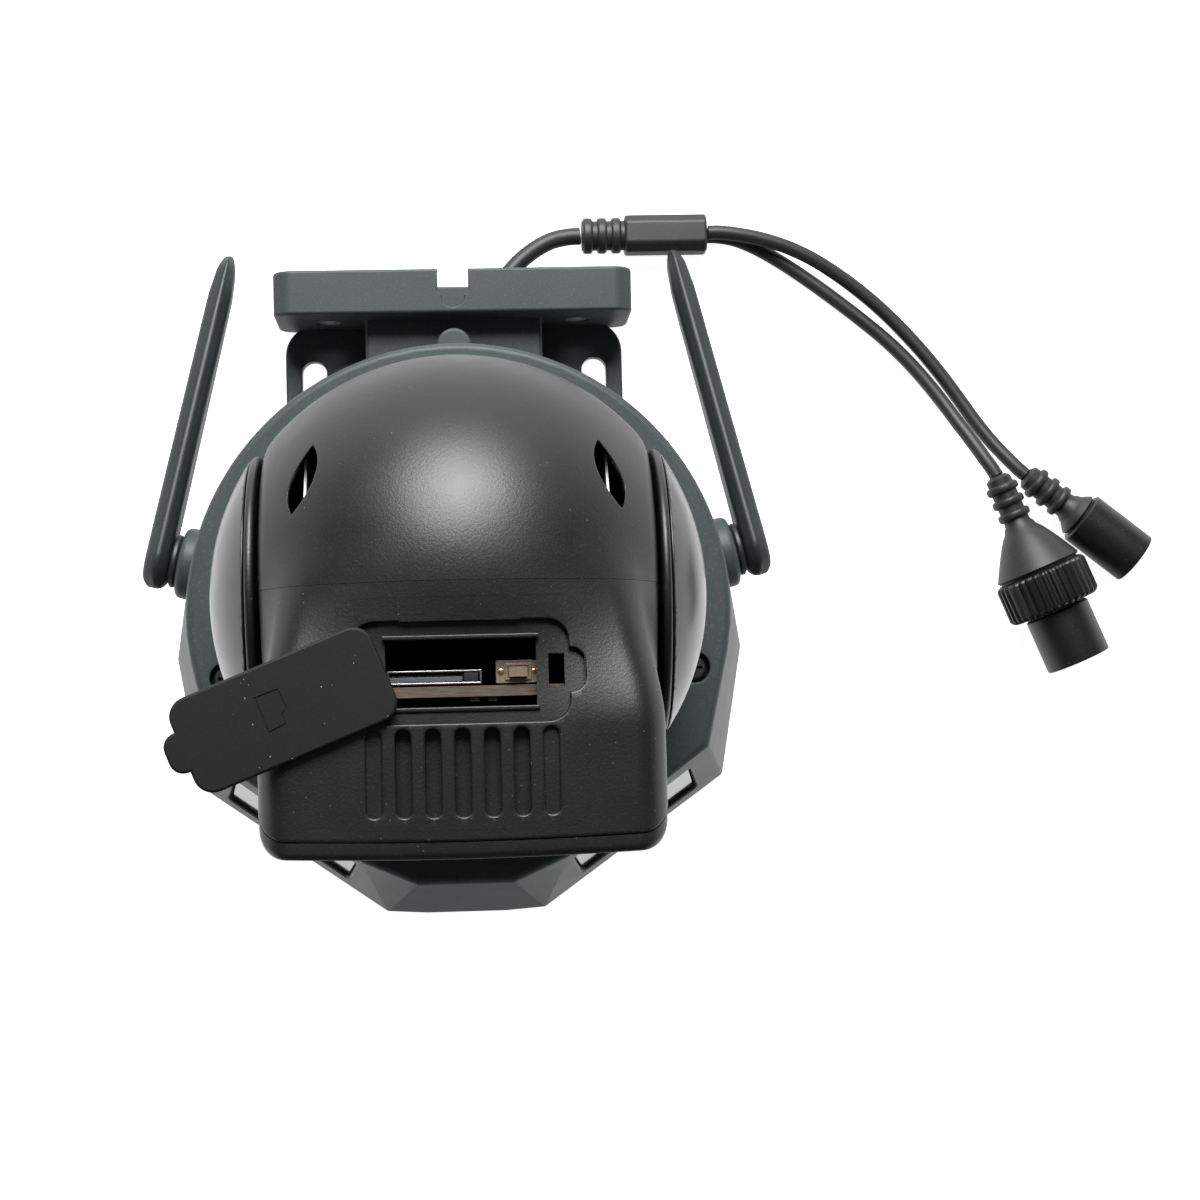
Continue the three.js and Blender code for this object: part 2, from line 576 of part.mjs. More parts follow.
// ---- Cable set ----
function junctionBlock() {
  const { y, z, start, block, end, half } = JUNCTION;
  const body = prismX(roundedRect(y - half, y + half, z - half, z + half, 1.6), block, end, 2);
  const ribs = [0.2, 3, 5.8].map((x) => rodX(y, z, 3.5, start + x, start + x + 1.9, 12));
  return join(body, rodX(y, z, 2.9, start, block + 1, 12), ...ribs);
}

// Plugs are drawn along +X from the cable and then laid in place.
function plugPlace({ at, heading }) {
  return new THREE.Matrix4().makeRotationZ(Math.atan2(heading[1], heading[0])).setPosition(...at);
}

function plugBoot(place, reach, endRadius) {
  const ribs = [1.5, 4.3, 7.1].map((x) => rodX(0, 0, 3.2, x, x + 1.8, 12, 3.2, place));
  const cone = rodX(0, 0, 3, 10, reach, 16, endRadius, place);
  return join(rodX(0, 0, 2.5, 0, 10.5, 12, 2.5, place), cone, ...ribs);
}

function networkPlugNut(place) {
  const points = [...Array(36).keys()].map((i) => {
    const angle = 2 * Math.PI * i / 36;
    const radius = i % 2 ? 9.15 : 8.7;
    return [radius * Math.cos(angle), radius * Math.sin(angle)];
  });
  const geometry = extruded(outline(points), 8, 1).rotateY(Math.PI / 2).translate(20, 0, 0);
  return solid(geometry.applyMatrix4(place));
}

function openBarrel(place, x0, x1, radius, mouth, depth) {
  return cut(
    rodX(0, 0, radius, x0, x1, 18, radius, place),
    rodX(0, 0, mouth, x1 - depth, x1 + 1, 14, mouth, place));
}

// ---- Everything that stays still ----
add('mount_bracket', mountBracket(), SLATE);
add('base_housing', baseHousing(), SLATE);
add('base_cover', baseCover(), SLATE);
add('base_board', baseBoard(), BOARD_GREEN);
add('cable_gland', cableGland(), RUBBER);
add('pan_motor', panMotor(), STEEL);
add('pan_bush', panBush(), NYLON);
for (const [name, side] of sides) {
  add(`bracket_screw_${name}`, bracketScrew(side), STEEL);
  add(`base_screw_${name}`, baseScrew(side), STEEL);
  add(`lamp_window_${name}`, lampWindow(side), SMOKE);
  add(`lamp_board_${name}`, lampBoard(side), BOARD_GREEN);
}

const network = plugPlace(NETWORK_PLUG);
const power = plugPlace(POWER_PLUG);
add('main_cable', tube(MAIN_ROUTE, CABLE_R, 8, 9), RUBBER);
add('network_branch', tube(NETWORK_ROUTE, BRANCH_R, 8, 18), RUBBER);
add('power_branch', tube(POWER_ROUTE, BRANCH_R, 8, 18), RUBBER);
add('junction_block', junctionBlock(), RUBBER);
add('network_plug_boot', plugBoot(network, 19.7, 8.4), RUBBER);
add('network_plug_nut', networkPlugNut(network), BLACK);
add('network_plug_barrel', openBarrel(network, 28.3, 39.2, 6.35, 5, 3.6), BLACK);
add('power_plug_boot', plugBoot(power, 13, 4.6), RUBBER);
add('power_plug_body', openBarrel(power, 13.3, 27, 5.3, 3.9, 3.6), BLACK);

// ---- Antennas, each turning on the axis of its boss ----
for (const [name, side] of sides) {
  add(`antenna_hub_${name}`, antennaHub(side), SLATE);
  add(`antenna_blade_${name}`, antennaBlade(side), SLATE);
}

// ---- Pan drive and turntable ----
add('pan_pinion', panPinion(), NYLON);
add('pan_gear', gear(GEAR.panTeeth, HUB.outer + GAP, GEAR.low, GEAR.high), NYLON);
add('pan_yoke', panYoke(), BLACK);
add('tilt_bush', tiltBush(), NYLON);
add('tilt_shaft', tiltShaft(), STEEL);
for (const [name, side] of sides) add(`ear_cover_${name}`, earCover(side), GLOSS);

// ---- Tilting head ----
add('head_rear_shell', headRearShell(), BLACK);
add('head_front_shell', headFrontShell(), BLACK);
add('front_bezel', frontBezel(), BLACK);
add('front_window', frontWindow(), SMOKE);
add('lens_barrel', lensBarrel(), BLACK);
add('lens_element', lensElement(), SMOKE);
add('main_board', mainBoard(), AMBER);
add('card_socket', cardSocket(), STEEL);
add('reset_switch', resetSwitch(), AMBER);
add('reset_button', resetButton(), AMBER);
add('tilt_motor', tiltMotor(), STEEL);
add('speaker', speaker(), BLACK);
for (const [name, side] of sides) add(`chassis_plate_${name}`, chassisPlate(side), STEEL);
add('card_door', cardDoor(), RUBBER);

export default group;
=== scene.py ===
"""Looks of a small outdoor pan-and-tilt security camera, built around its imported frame.

The camera lies on the ceiling face of its bracket: +Z runs up the pan axis and the lens looks to -Y.
"""
import json
import math

import bmesh
import bpy
from mathutils import Euler, Matrix, Vector


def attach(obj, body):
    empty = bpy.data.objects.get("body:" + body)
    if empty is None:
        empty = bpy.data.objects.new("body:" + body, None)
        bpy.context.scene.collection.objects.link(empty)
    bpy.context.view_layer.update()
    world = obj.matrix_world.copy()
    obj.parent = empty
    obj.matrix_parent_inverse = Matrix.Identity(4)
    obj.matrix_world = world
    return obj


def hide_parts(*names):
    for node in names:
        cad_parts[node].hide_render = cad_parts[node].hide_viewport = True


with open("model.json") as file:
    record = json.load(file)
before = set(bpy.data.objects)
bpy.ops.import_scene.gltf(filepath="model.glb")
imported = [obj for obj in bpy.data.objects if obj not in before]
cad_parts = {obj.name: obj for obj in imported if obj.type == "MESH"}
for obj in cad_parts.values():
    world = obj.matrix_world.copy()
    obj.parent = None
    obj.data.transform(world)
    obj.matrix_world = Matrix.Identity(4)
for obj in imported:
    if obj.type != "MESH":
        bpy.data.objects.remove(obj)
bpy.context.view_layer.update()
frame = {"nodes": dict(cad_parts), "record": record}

record = frame["record"]
BODY_OF = {node: body for body, nodes in record["behaviour"]["bodies"].items() for node in nodes}
SLOT_OF = {part["node"]: part["material_slot"] for part in record["subparts"]}
MM = 0.001
TURN = 2 * math.pi
SIDES = (("left", -1), ("right", 1))

# ---- Driving dimensions, in millimetres ----
GAP = 0.3
PLATE = {"half": 33, "front": -24, "rear": 59, "thick": 3, "corner": 6}
TRAY = {"half": 34.2, "front": 58, "rear": 66.5, "high": 20, "wall": 2, "corner": 3.6}
NECK = {"half": 17, "top": 13, "hollow_half": 14, "hollow_top": 11}
KEYHOLE = {"x": 27.4, "neck": 2.4, "head": 4.2, "head_y": 42, "end_y": 51.8}
BASE = {"radius": 49.7, "bottom": 3.4, "flare": 10, "top": 35, "wall": 2.6, "ceiling": 30.4,
        "edge": 1.4}
FRONT_TOP = [(49.6, -3), (48.9, -8), (45, -25.5), (18.7, -45), (8.8, -49.3)]
FRONT_LOW = [(51.6, -1.5), (54, -6), (49.7, -30.8), (15, -55.2), (7.5, -55.7)]
PAN_SEAT = {"radius": 40.4, "floor": 32.7}
HUB = {"outer": 12, "bore": 6, "low": 10}
LAMP = {"half": 13.5, "half_high": 8, "pocket": 1.8, "lip": 1.5}
BASE_SCREW = (42.6, -11)
BRACKET_SCREW_X = 20
ANTENNA = {"turn": 12.5, "z": 20, "pitch": 9, "hub": 53.5, "blade": 54.9, "thick": 4.6}
BLADE = {"root": 5.8, "tip": 3.6, "reach": 57.4}
TILT_Z = 78
DISC = {"radius": 40, "low": 33.4, "top": 35.6}
EAR = {"radius": 40.5, "skirt": 39.9, "plate": 31.6, "plate_thick": 1.5, "half": 25.2, "wall": 1.8}
HEAD = {"radius": 39.6, "half": 31, "wall": 2}
NOSE = {"half": 30.5, "face": -38.6, "low": 50, "top": 117, "corner": 5, "wall": 2.5, "begin": 8, "full": -22,
        "bow": 0.7, "bend": -29, "plan_corner": 4.2}
BEZEL = {"front": -41.2, "half": 26, "low": 55, "top": 112, "corner": 4}
PIVOT_HOLE = 5.4
LENS_Z = 82
DOOR = {"half": 15.9, "y": -13.6, "high": 14.8, "corner": 3, "lobe": 18.3, "low": 117.4, "thick": 1.5}
DOOR_OPEN = -158.3
PEG = {"x": -13.5, "radius": 1.3, "low": 113}
RECESS_FLOOR = 115.7
RECESS_DEEP = 1.2
PARTING = 0.03
HATCH = {"half": 11.2, "front": -19.2, "rear": -8.3}
VENT = {"pitch": 4.38, "half": 1.15, "front": -35, "rear": -22, "count": 7}
INSERT = {"half": 18.5, "front": -36.9, "rear": -2.3, "corner": 3.4, "wide": 0.14, "high": 0.03}
BOARD = {"front": -17.2, "rear": -15.6, "half": 24, "low": 56, "top": 112}
GLAND = {"x": 6, "z": 7.2, "radius": 3.2, "neck": 2.7, "face": 51.2}
JUNCTION = {"y": 75.7, "z": 4.1, "start": 25.6, "block": 34, "end": 50.2, "half": 3.7}
NETWORK_PLUG = {"at": (105.6, 25.6, 9.4), "heading": (0.378, -0.926)}
POWER_PLUG = {"at": (112.4, 26.2, 5.5), "heading": (0.78, -0.626)}

# ---- Cord routes, in metres, the same as in the CAD ----
MAIN_ROUTE = [
    (0.006, 0.0515, 0.0072), (0.006, 0.0536, 0.0072), (0.0061, 0.056, 0.0071), (0.0068, 0.0596, 0.0069),
    (0.0082, 0.0634, 0.0065), (0.0102, 0.067, 0.006), (0.0129, 0.0702, 0.0054), (0.016, 0.0728, 0.0048),
    (0.0194, 0.0747, 0.0044), (0.0226, 0.0755, 0.00415), (0.0253, 0.0757, 0.0041),
]
NETWORK_ROUTE = [
    (0.0505, 0.0757, 0.0024), (0.053, 0.0756, 0.0023), (0.0566, 0.0749, 0.00205), (0.061, 0.073, 0.00175),
    (0.066, 0.07, 0.0016), (0.071, 0.0665, 0.0015), (0.076, 0.0627, 0.0015), (0.081, 0.0587, 0.0015),
    (0.0856, 0.0547, 0.0016), (0.0896, 0.0506, 0.0019), (0.0932, 0.0462, 0.0025), (0.0964, 0.0416, 0.0035),
    (0.0992, 0.037, 0.005), (0.1016, 0.0329, 0.0068), (0.1034, 0.0296, 0.0083), (0.1047, 0.0274, 0.009),
    (0.1055, 0.0259, 0.0093),
]
POWER_ROUTE = [
    (0.0505, 0.0757, 0.0058), (0.053, 0.0757, 0.00575), (0.057, 0.0752, 0.0056), (0.0614, 0.0743, 0.0052),
    (0.066, 0.0729, 0.0047), (0.0708, 0.0708, 0.004), (0.0754, 0.0681, 0.0032), (0.08, 0.0649, 0.0024),
    (0.0848, 0.0609, 0.0018), (0.0892, 0.0565, 0.0015), (0.0932, 0.0519, 0.0015), (0.0968, 0.0472, 0.0016),
    (0.1, 0.0425, 0.0019), (0.103, 0.0378, 0.0025), (0.1059, 0.0336, 0.0034), (0.1086, 0.0302, 0.0044),
    (0.1106, 0.0279, 0.0051), (0.1121, 0.0264, 0.0054),
]


# ---- The photograph's viewpoint: almost straight down, from a little in front ----
def add_camera():
    data = bpy.data.cameras.new("camera")
    data.sensor_width = 36
    data.lens = 72
    camera = bpy.data.objects.new("camera", data)
    camera.location = (0.00032, -0.0259, 0.4718)
    camera.rotation_euler = Euler([math.radians(a) for a in (3.695, -3.213, -1.499)])
    bpy.context.scene.collection.objects.link(camera)
    bpy.context.scene.camera = camera


add_camera()


# ---- Materials ----
class Nodes:
    """A material's node tree, with its surface texture taken from object coordinates in metres."""

    def __init__(self, name, roughness, metallic=0.0, ior=1.5, coat=0.0):
        self.material = bpy.data.materials.new(name)
        self.material.use_nodes = True
        self.tree = self.material.node_tree
        self.shader = self.tree.nodes["Principled BSDF"]
        self.shader.inputs["Roughness"].default_value = roughness
        self.shader.inputs["Metallic"].default_value = metallic
        self.shader.inputs["IOR"].default_value = ior
        self.shader.inputs["Coat Weight"].default_value = coat
        self.shader.inputs["Coat Roughness"].default_value = 0.12
        self.place = self.add("ShaderNodeTexCoord").outputs["Object"]
        self.bumps = None

    def add(self, kind, **values):
        node = self.tree.nodes.new(kind)
        for key, value in values.items():
            setattr(node, key, value)
        return node

    def link(self, start, end):
        self.tree.links.new(start, end)

    def noise(self, size_mm, detail=2.0, rough=0.5, stretch=(1, 1, 1)):
        scaled = self.add("ShaderNodeMapping")
        scaled.inputs["Scale"].default_value = stretch
        self.link(self.place, scaled.inputs["Vector"])
        node = self.add("ShaderNodeTexNoise")
        node.inputs["Scale"].default_value = 1 / (size_mm * MM)
        node.inputs["Detail"].default_value = detail
        node.inputs["Roughness"].default_value = rough
        self.link(scaled.outputs["Vector"], node.inputs["Vector"])
        return node.outputs["Fac"]

    def cells(self, size_mm, feature="F1"):
        node = self.add("ShaderNodeTexVoronoi", feature=feature)
        node.inputs["Scale"].default_value = 1 / (size_mm * MM)
        self.link(self.place, node.inputs["Vector"])
        return node.outputs["Distance"]

    def ramp(self, value, stops):
        """stops are (position, colour or grey) pairs."""
        node = self.add("ShaderNodeValToRGB")
        points = node.color_ramp.elements
        while len(points) < len(stops):
            points.new(0.5)
        for point, (position, tone) in zip(points, stops):
            point.position = position
            point.color = (*tone, 1) if isinstance(tone, tuple) else (tone, tone, tone, 1)
        self.link(value, node.inputs["Fac"])
        return node.outputs["Color"]

    def mix(self, factor, first, second):
        node = self.add("ShaderNodeMix", data_type="RGBA")
        self.link(factor, node.inputs["Factor"])
        self.link(first, node.inputs["A"])
        if isinstance(second, tuple):
            node.inputs["B"].default_value = (*second, 1)
        else:
            self.link(second, node.inputs["B"])
        return node.outputs["Result"]

    def colour(self, value):
        self.link(value, self.shader.inputs["Base Color"])

    def roughness(self, value, low, high):
        node = self.add("ShaderNodeMapRange")
        node.inputs["To Min"].default_value = low
        node.inputs["To Max"].default_value = high
        self.link(value, node.inputs["Value"])
        self.link(node.outputs["Result"], self.shader.inputs["Roughness"])

    def bump(self, value, height_mm, strength=1.0):
        node = self.add("ShaderNodeBump")
        node.inputs["Distance"].default_value = height_mm * MM
        node.inputs["Strength"].default_value = strength
        self.link(value, node.inputs["Height"])
        if self.bumps:
            self.link(self.bumps, node.inputs["Normal"])
        self.bumps = node.outputs["Normal"]
        self.link(self.bumps, self.shader.inputs["Normal"])


def moulded(name, dark, light, rough, grain_mm=0.35, grain_high=0.012, dust=0.0, ior=1.5):
    """Moulded plastic or rubber: spark-eroded grain, faint clouding, uneven gloss and, if asked, dust."""
    look = Nodes(name, rough, ior=ior)
    grain = look.noise(grain_mm, 3.0, 0.6)
    clouds = look.noise(22, 3.0)
    tone = look.ramp(clouds, [(0.3, dark), (0.7, light)])
    pale = tuple(min(1.0, part * 1.7 + 0.006) for part in light)
    tone = look.mix(look.ramp(grain, [(0.56, 0.0), (0.8, 1.0)]), tone, pale)
    if dust:
        specks = look.ramp(look.cells(1.3), [(0.05, dust), (0.08, 0.0)])
        patches = look.ramp(look.noise(7, 1.0), [(0.5, 0.0), (0.54, 1.0)])
        both = look.add("ShaderNodeMath", operation="MULTIPLY")
        look.link(specks, both.inputs[0])
        look.link(patches, both.inputs[1])
        tone = look.mix(both.outputs["Value"], tone, (0.3, 0.3, 0.29))
    look.colour(tone)
    look.roughness(look.noise(6, 2.0), rough - 0.05, rough + 0.05)
    look.bump(grain, grain_high)
    look.bump(clouds, 0.03, 0.4)
    return look.material


def brushed(name, tone, rough, stretch):
    """Plated or brushed metal with fine lines along the long direction of the noise."""
    look = Nodes(name, rough, metallic=1.0)
    lines = look.noise(0.5, 2.0, 0.6, stretch)
    look.colour(look.ramp(lines, [(0.3, tuple(part * 0.78 for part in tone)), (0.7, tone)]))
    look.roughness(lines, rough - 0.08, rough + 0.12)
    look.bump(lines, 0.004)
    return look.material


def laminate(name, dark, light, layer_mm=0.2):
    """Circuit board: woven glass layers that show as streaks on the sawn edge."""
    look = Nodes(name, 0.5)
    layers = look.noise(layer_mm * 4, 3.0, 0.6, (0.25, 3.0, 1.0))
    blots = look.noise(5, 2.0)
    look.colour(look.mix(look.ramp(blots, [(0.45, 0.0), (0.75, 0.5)]),
                         look.ramp(layers, [(0.3, dark), (0.72, light)]), dark))
    look.roughness(layers, 0.4, 0.65)
    look.bump(layers, 0.03)
    return look.material


def smoked(name, tone, painted_glow):
    """Dark polished polycarbonate, with soft pale streaks painted into its colour: a painted glow that stands for
    the lit parts behind it.
    """
    look = Nodes(name, 0.1, ior=1.58, coat=0.3)
    # Painted glow: pale streaks in the base colour stand in for light from the parts behind the window.
    streaks = look.noise(3.2, 1.0, 0.4, (0.35, 1.0, 1.0))
    look.colour(look.ramp(streaks, [(0.45, tone), (0.75, painted_glow)]))
    look.roughness(look.noise(4, 2.0), 0.06, 0.16)
    look.bump(look.noise(7, 1.0), 0.02, 0.5)
    return look.material


LOOKS = {
    "slate": moulded("slate_plastic", (0.034, 0.043, 0.0435), (0.041, 0.051, 0.051), 0.46, 0.4, 0.012, ior=1.38),
    "aerial": moulded("aerial_plastic", (0.012, 0.015, 0.016), (0.016, 0.02, 0.021), 0.46, 0.4, 0.008),
    "black": moulded("black_plastic", (0.004, 0.004, 0.0041), (0.0054, 0.0054, 0.0055), 0.4, 0.45, 0.03, 0.3),
    "gloss": moulded("gloss_black_plastic", (0.005, 0.005, 0.0053), (0.007, 0.007, 0.0073), 0.24, 0.4, 0.003),
    "flap": moulded("flap_rubber", (0.003, 0.003, 0.0032), (0.0045, 0.0045, 0.0047), 0.6, 0.25, 0.012, 1.0, 1.36),
    "cable": moulded("cable_rubber", (0.01, 0.0112, 0.0115), (0.014, 0.0155, 0.016), 0.5, 0.5, 0.008),
    "dark": moulded("dark_moulding", (0.006, 0.006, 0.0062), (0.009, 0.009, 0.0093), 0.5, 0.4, 0.01),
    "nylon": moulded("natural_nylon", (0.55, 0.53, 0.47), (0.66, 0.64, 0.57), 0.45, 0.8, 0.01),
    "amber": moulded("amber_switch", (0.12, 0.09, 0.062), (0.2, 0.155, 0.11), 0.35, 0.5, 0.02),
    # The last colour of each smoked look is its painted glow, not the window's own tint.
    "smoke": smoked("smoked_window", (0.006, 0.006, 0.0065), (0.03, 0.031, 0.032)),
    "glass": smoked("lens_glass", (0.003, 0.003, 0.005), (0.009, 0.006, 0.018)),
    "board": laminate("circuit_board", (0.045, 0.032, 0.022), (0.13, 0.098, 0.07)),
    "steel": brushed("plated_steel", (0.55, 0.55, 0.56), 0.3, (6.0, 1.0, 0.5)),
    "bright": brushed("bright_steel", (0.5, 0.48, 0.48), 0.26, (1.0, 1.0, 4.0)),
    "plate": moulded("pale_zinc_plate", (0.75, 0.76, 0.77), (0.85, 0.86, 0.87), 0.3, 0.6, 0.004),
    "ash": moulded("ash_plastic", (0.07, 0.075, 0.085), (0.09, 0.095, 0.105), 0.4, 0.4, 0.006),
    "brass": brushed("gold_contact", (0.75, 0.55, 0.25), 0.25, (4.0, 1.0, 1.0)),
}
LOOK_OF_SLOT = {
    "slate_plastic": "slate", "black_plastic": "black", "gloss_black": "gloss", "rubber": "cable",
    "smoked_lens": "smoke", "circuit_board": "board", "steel": "steel", "nylon": "nylon", "switch_body": "amber",
}


# ---- Outlines and solids, in millimetres ----
def arc(cx, cy, radius, start, end, steps):
    """Points on an arc, with its angles in degrees."""
    angles = [math.radians(start + (end - start) * i / steps) for i in range(steps + 1)]
    return [(cx + radius * math.cos(a), cy + radius * math.sin(a)) for a in angles]


def rounded(x0, x1, y0, y1, r, steps=8):
    return (arc(x1 - r, y0 + r, r, -90, 0, steps) + arc(x1 - r, y1 - r, r, 0, 90, steps)
            + arc(x0 + r, y1 - r, r, 90, 180, steps) + arc(x0 + r, y0 + r, r, 180, 270, steps))


def circle(cx, cy, radius, sides):
    return arc(cx, cy, radius, 0, 360 - 360 / sides, sides - 1)


def mesh_object(bm):
    mesh = bpy.data.meshes.new("shape")
    bmesh.ops.recalc_face_normals(bm, faces=bm.faces)
    bm.to_mesh(mesh)
    bm.free()
    made = bpy.data.objects.new("shape", mesh)
    bpy.context.scene.collection.objects.link(made)
    return made


def loft(rings, looped=False):
    """A closed body through rings of points: capped at both ends, or joined end to end."""
    bm = bmesh.new()
    rows = [[bm.verts.new(point) for point in ring] for ring in rings]
    pairs = list(zip(rows, rows[1:]))
    if looped:
        pairs.append((rows[-1], rows[0]))
    else:
        bm.faces.new(rows[0])
        bm.faces.new(rows[-1])
    for low, high in pairs:
        for i in range(len(low)):
            j = (i + 1) % len(low)
            bm.faces.new((low[i], low[j], high[j], high[i]))
    return mesh_object(bm)


def inset(outline, distance):
    """The outline moved inwards, corner by corner, or outwards if the distance is negative."""
    ahead = outline[1:] + outline[:1]
    turn = math.copysign(1, sum(x0 * y1 - x1 * y0 for (x0, y0), (x1, y1) in zip(outline, ahead)))
    moved = []
    for before, here, after in zip(outline[-1:] + outline[:-1], outline, ahead):
        first = (Vector(here) - Vector(before)).normalized().orthogonal() * turn
        second = (Vector(after) - Vector(here)).normalized().orthogonal() * turn
        moved.append(tuple(Vector(here) + (first + second) * (distance / (1 + first.dot(second)))))
    return moved


def rounded_corners(outline, reach, steps=4):
    """Replaces each corner by a short curve that starts and ends at the reach from it."""
    points = []
    for before, here, after in zip(outline[-1:] + outline[:-1], map(Vector, outline), outline[1:] + outline[:1]):
        start = here + (Vector(before) - here).normalized() * reach
        end = here + (Vector(after) - here).normalized() * reach
        for i in range(steps + 1):
            t = i / steps
            points.append(tuple((1 - t) ** 2 * start + 2 * t * (1 - t) * here + t ** 2 * end))
    return points


PLANES = {
    "X": lambda a, b, along: (along, a, b),
    "Y": lambda a, b, along: (a, along, b),
    "Z": lambda a, b, along: (a, b, along),
}


def prism(outline, low, high, axis="Z"):
    """An outline drawn across the axis (Y,Z for X; X,Z for Y; X,Y for Z) and pulled along it."""
    return loft([[PLANES[axis](a, b, along) for a, b in outline] for along in (low, high)])


def quarter(edge, steps=4):
    """A quarter circle as (sideways, along) pairs, from an end face to the side wall."""
    angles = [math.pi / 2 * i / steps for i in range(steps + 1)]
    return [(edge * (1 - math.sin(a)), edge * (1 - math.cos(a))) for a in angles]


def through_levels(outline, levels, axis):
    return loft([[PLANES[axis](a, b, along) for a, b in inset(outline, side)] for side, along in levels])


def soft_prism(outline, low, high, axis="Z", edge=0.5, ends="both"):
    """A prism whose low end, high end or both have rounded edges."""
    start, end = [(0, low)], [(0, high)]
    if ends != "high":
        start = [(side, low + along) for side, along in quarter(edge)]
    if ends != "low":
        end = [(side, high - along) for side, along in quarter(edge)[::-1]]
    return through_levels(outline, start + end, axis)


def flared(outline, low, high, axis="Z", edge=0.3, ends="high", past=1.5):
    """A cutter that leaves a rounded rim where it comes out of the low face, the high face or both."""
    start, end = [(0, low)], [(0, high)]
    if ends != "high":
        start = [(-edge, low - past)] + [(-side, low + along) for side, along in quarter(edge)]
    if ends != "low":
        end = [(-side, high - along) for side, along in quarter(edge)[::-1]] + [(-edge, high + past)]
    return through_levels(outline, start + end, axis)


def rim_cutter(outline, height, edge):
    """A ring that rounds the rim of an upright opening in a curved surface, given its height at (x, y)."""
    section = [(-0.2, -edge)] + [(side, -along) for side, along in quarter(edge)[::-1]] + [(edge, 0.6), (-0.2, 0.6)]
    rings = []
    for out, rise in section:
        rings.append([(x, y, height(x, y) + rise) for x, y in inset(outline, -out)])
    return loft(rings, looped=True)


def box(x0, x1, y0, y1, z0, z1):
    return prism([(x0, y0), (x1, y0), (x1, y1), (x0, y1)], z0, z1)


def rod(a, b, radius, low, high, axis="Z", sides=64):
    return prism(circle(a, b, radius, sides), low, high, axis)


def turned(profile, sides=64, looped=False):
    """A body turned about X from (x, radius) points, from end to end or as a closed ring."""
    rings = []
    for x, radius in profile:
        rings.append([(x, a, b) for a, b in circle(0, 0, max(radius, 0.02), sides)])
    return loft(rings, looped)


def turned_z(profile, sides=128):
    """A body turned about Z from (z, radius) points."""
    return loft([[(a, b, z) for a, b in circle(0, 0, max(radius, 0.02), sides)] for z, radius in profile])


def hull(points):
    bm = bmesh.new()
    for point in points:
        bm.verts.new(point)
    bmesh.ops.convex_hull(bm, input=bm.verts)
    bmesh.ops.dissolve_limit(bm, angle_limit=math.radians(0.6), verts=bm.verts, edges=bm.edges)
    return mesh_object(bm)


def placed(made, matrix):
    made.data.transform(matrix)
    return made


def apply_modifiers(made):
    bpy.context.view_layer.update()
    shaped = made.evaluated_get(bpy.context.evaluated_depsgraph_get())
    made_mesh = bpy.data.meshes.new_from_object(shaped)
    made.modifiers.clear()
    made.data = made_mesh
    return made


def combine(first, tools, operation):
    for tool in tools:
        change = first.modifiers.new(operation, "BOOLEAN")
        change.operation = operation
        change.solver = "MANIFOLD"
        change.object = tool
    apply_modifiers(first)
    for tool in tools:
        bpy.data.objects.remove(tool)
    return first


def join(first, *others):
    return combine(first, others, "UNION")


def cut(first, *tools):
    return combine(first, tools, "DIFFERENCE")


def common(first, *others):
    return combine(first, others, "INTERSECT")


def soften(made, edge, steps=2, angle=30):
    """Cleans up after the cuts and, on simple shapes, rounds every edge sharper than the angle."""
    bm = bmesh.new()
    bm.from_mesh(made.data)
    bmesh.ops.remove_doubles(bm, verts=bm.verts, dist=0.003)
    bmesh.ops.dissolve_degenerate(bm, edges=bm.edges, dist=0.001)
    bm.to_mesh(made.data)
    bm.free()
    if edge:
        bevel = made.modifiers.new("bevel", "BEVEL")
        bevel.width = edge
        bevel.segments = steps
        bevel.limit_method = "ANGLE"
        bevel.angle_limit = math.radians(angle)
        apply_modifiers(made)
    return made


def finish(node, made, look=None, edge=0.0, steps=2, angle=30, extra=""):
    """Turns a drawn shape into the piece that stands for a CAD node, or into an extra piece beside it."""
    soften(made, edge, steps, angle)
    made.data.transform(Matrix.Scale(MM, 4))
    made.name = f"{node}_{extra or 'fine'}"
    made.data.name = made.name
    made.data.shade_smooth()
    made.data.set_sharp_from_angle(angle=math.radians(42))
    weigh = made.modifiers.new("normals", "WEIGHTED_NORMAL")
    weigh.keep_sharp = True
    apply_modifiers(made)
    made.data.materials.clear()
    made.data.materials.append(LOOKS[look or LOOK_OF_SLOT[SLOT_OF[node]]])
    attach(made, BODY_OF[node])
    if not extra:
        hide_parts(node)
    return made


# ---- Cords ----
def smooth_route(route, per_span=6):
    """Points on a Catmull-Rom curve through the route, in metres."""
    points = [Vector(point) for point in route]
    points = [2 * points[0] - points[1], *points, 2 * points[-1] - points[-2]]
    made = []
    for a, b, c, d in zip(points, points[1:], points[2:], points[3:]):
        for i in range(per_span):
            t = i / per_span
            made.append(0.5 * (2 * b + (c - a) * t + (2 * a - 5 * b + 4 * c - d) * t ** 2
                               + (3 * b - a - 3 * c + d) * t ** 3))
    return made + [points[-2]]


def route_length(points):
    return sum((b - a).length for a, b in zip(points, points[1:]))


def cable(node, route, radius_mm):
    points = smooth_route(route)
    curve = bpy.data.curves.new(f"{node}_fine", "CURVE")
    curve.dimensions = "3D"
    curve.bevel_depth = radius_mm * MM
    curve.bevel_resolution = 8
    curve.use_fill_caps = True
    line = curve.splines.new("POLY")
    line.points.add(len(points) - 1)
    for spot, point in zip(line.points, points):
        spot.co = (*point, 1)
    line.use_smooth = True
    made = bpy.data.objects.new(f"{node}_fine", curve)
    bpy.context.scene.collection.objects.link(made)
    curve.materials.append(LOOKS["cable"])
    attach(made, BODY_OF[node])
    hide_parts(node)
    return made, route_length(points)


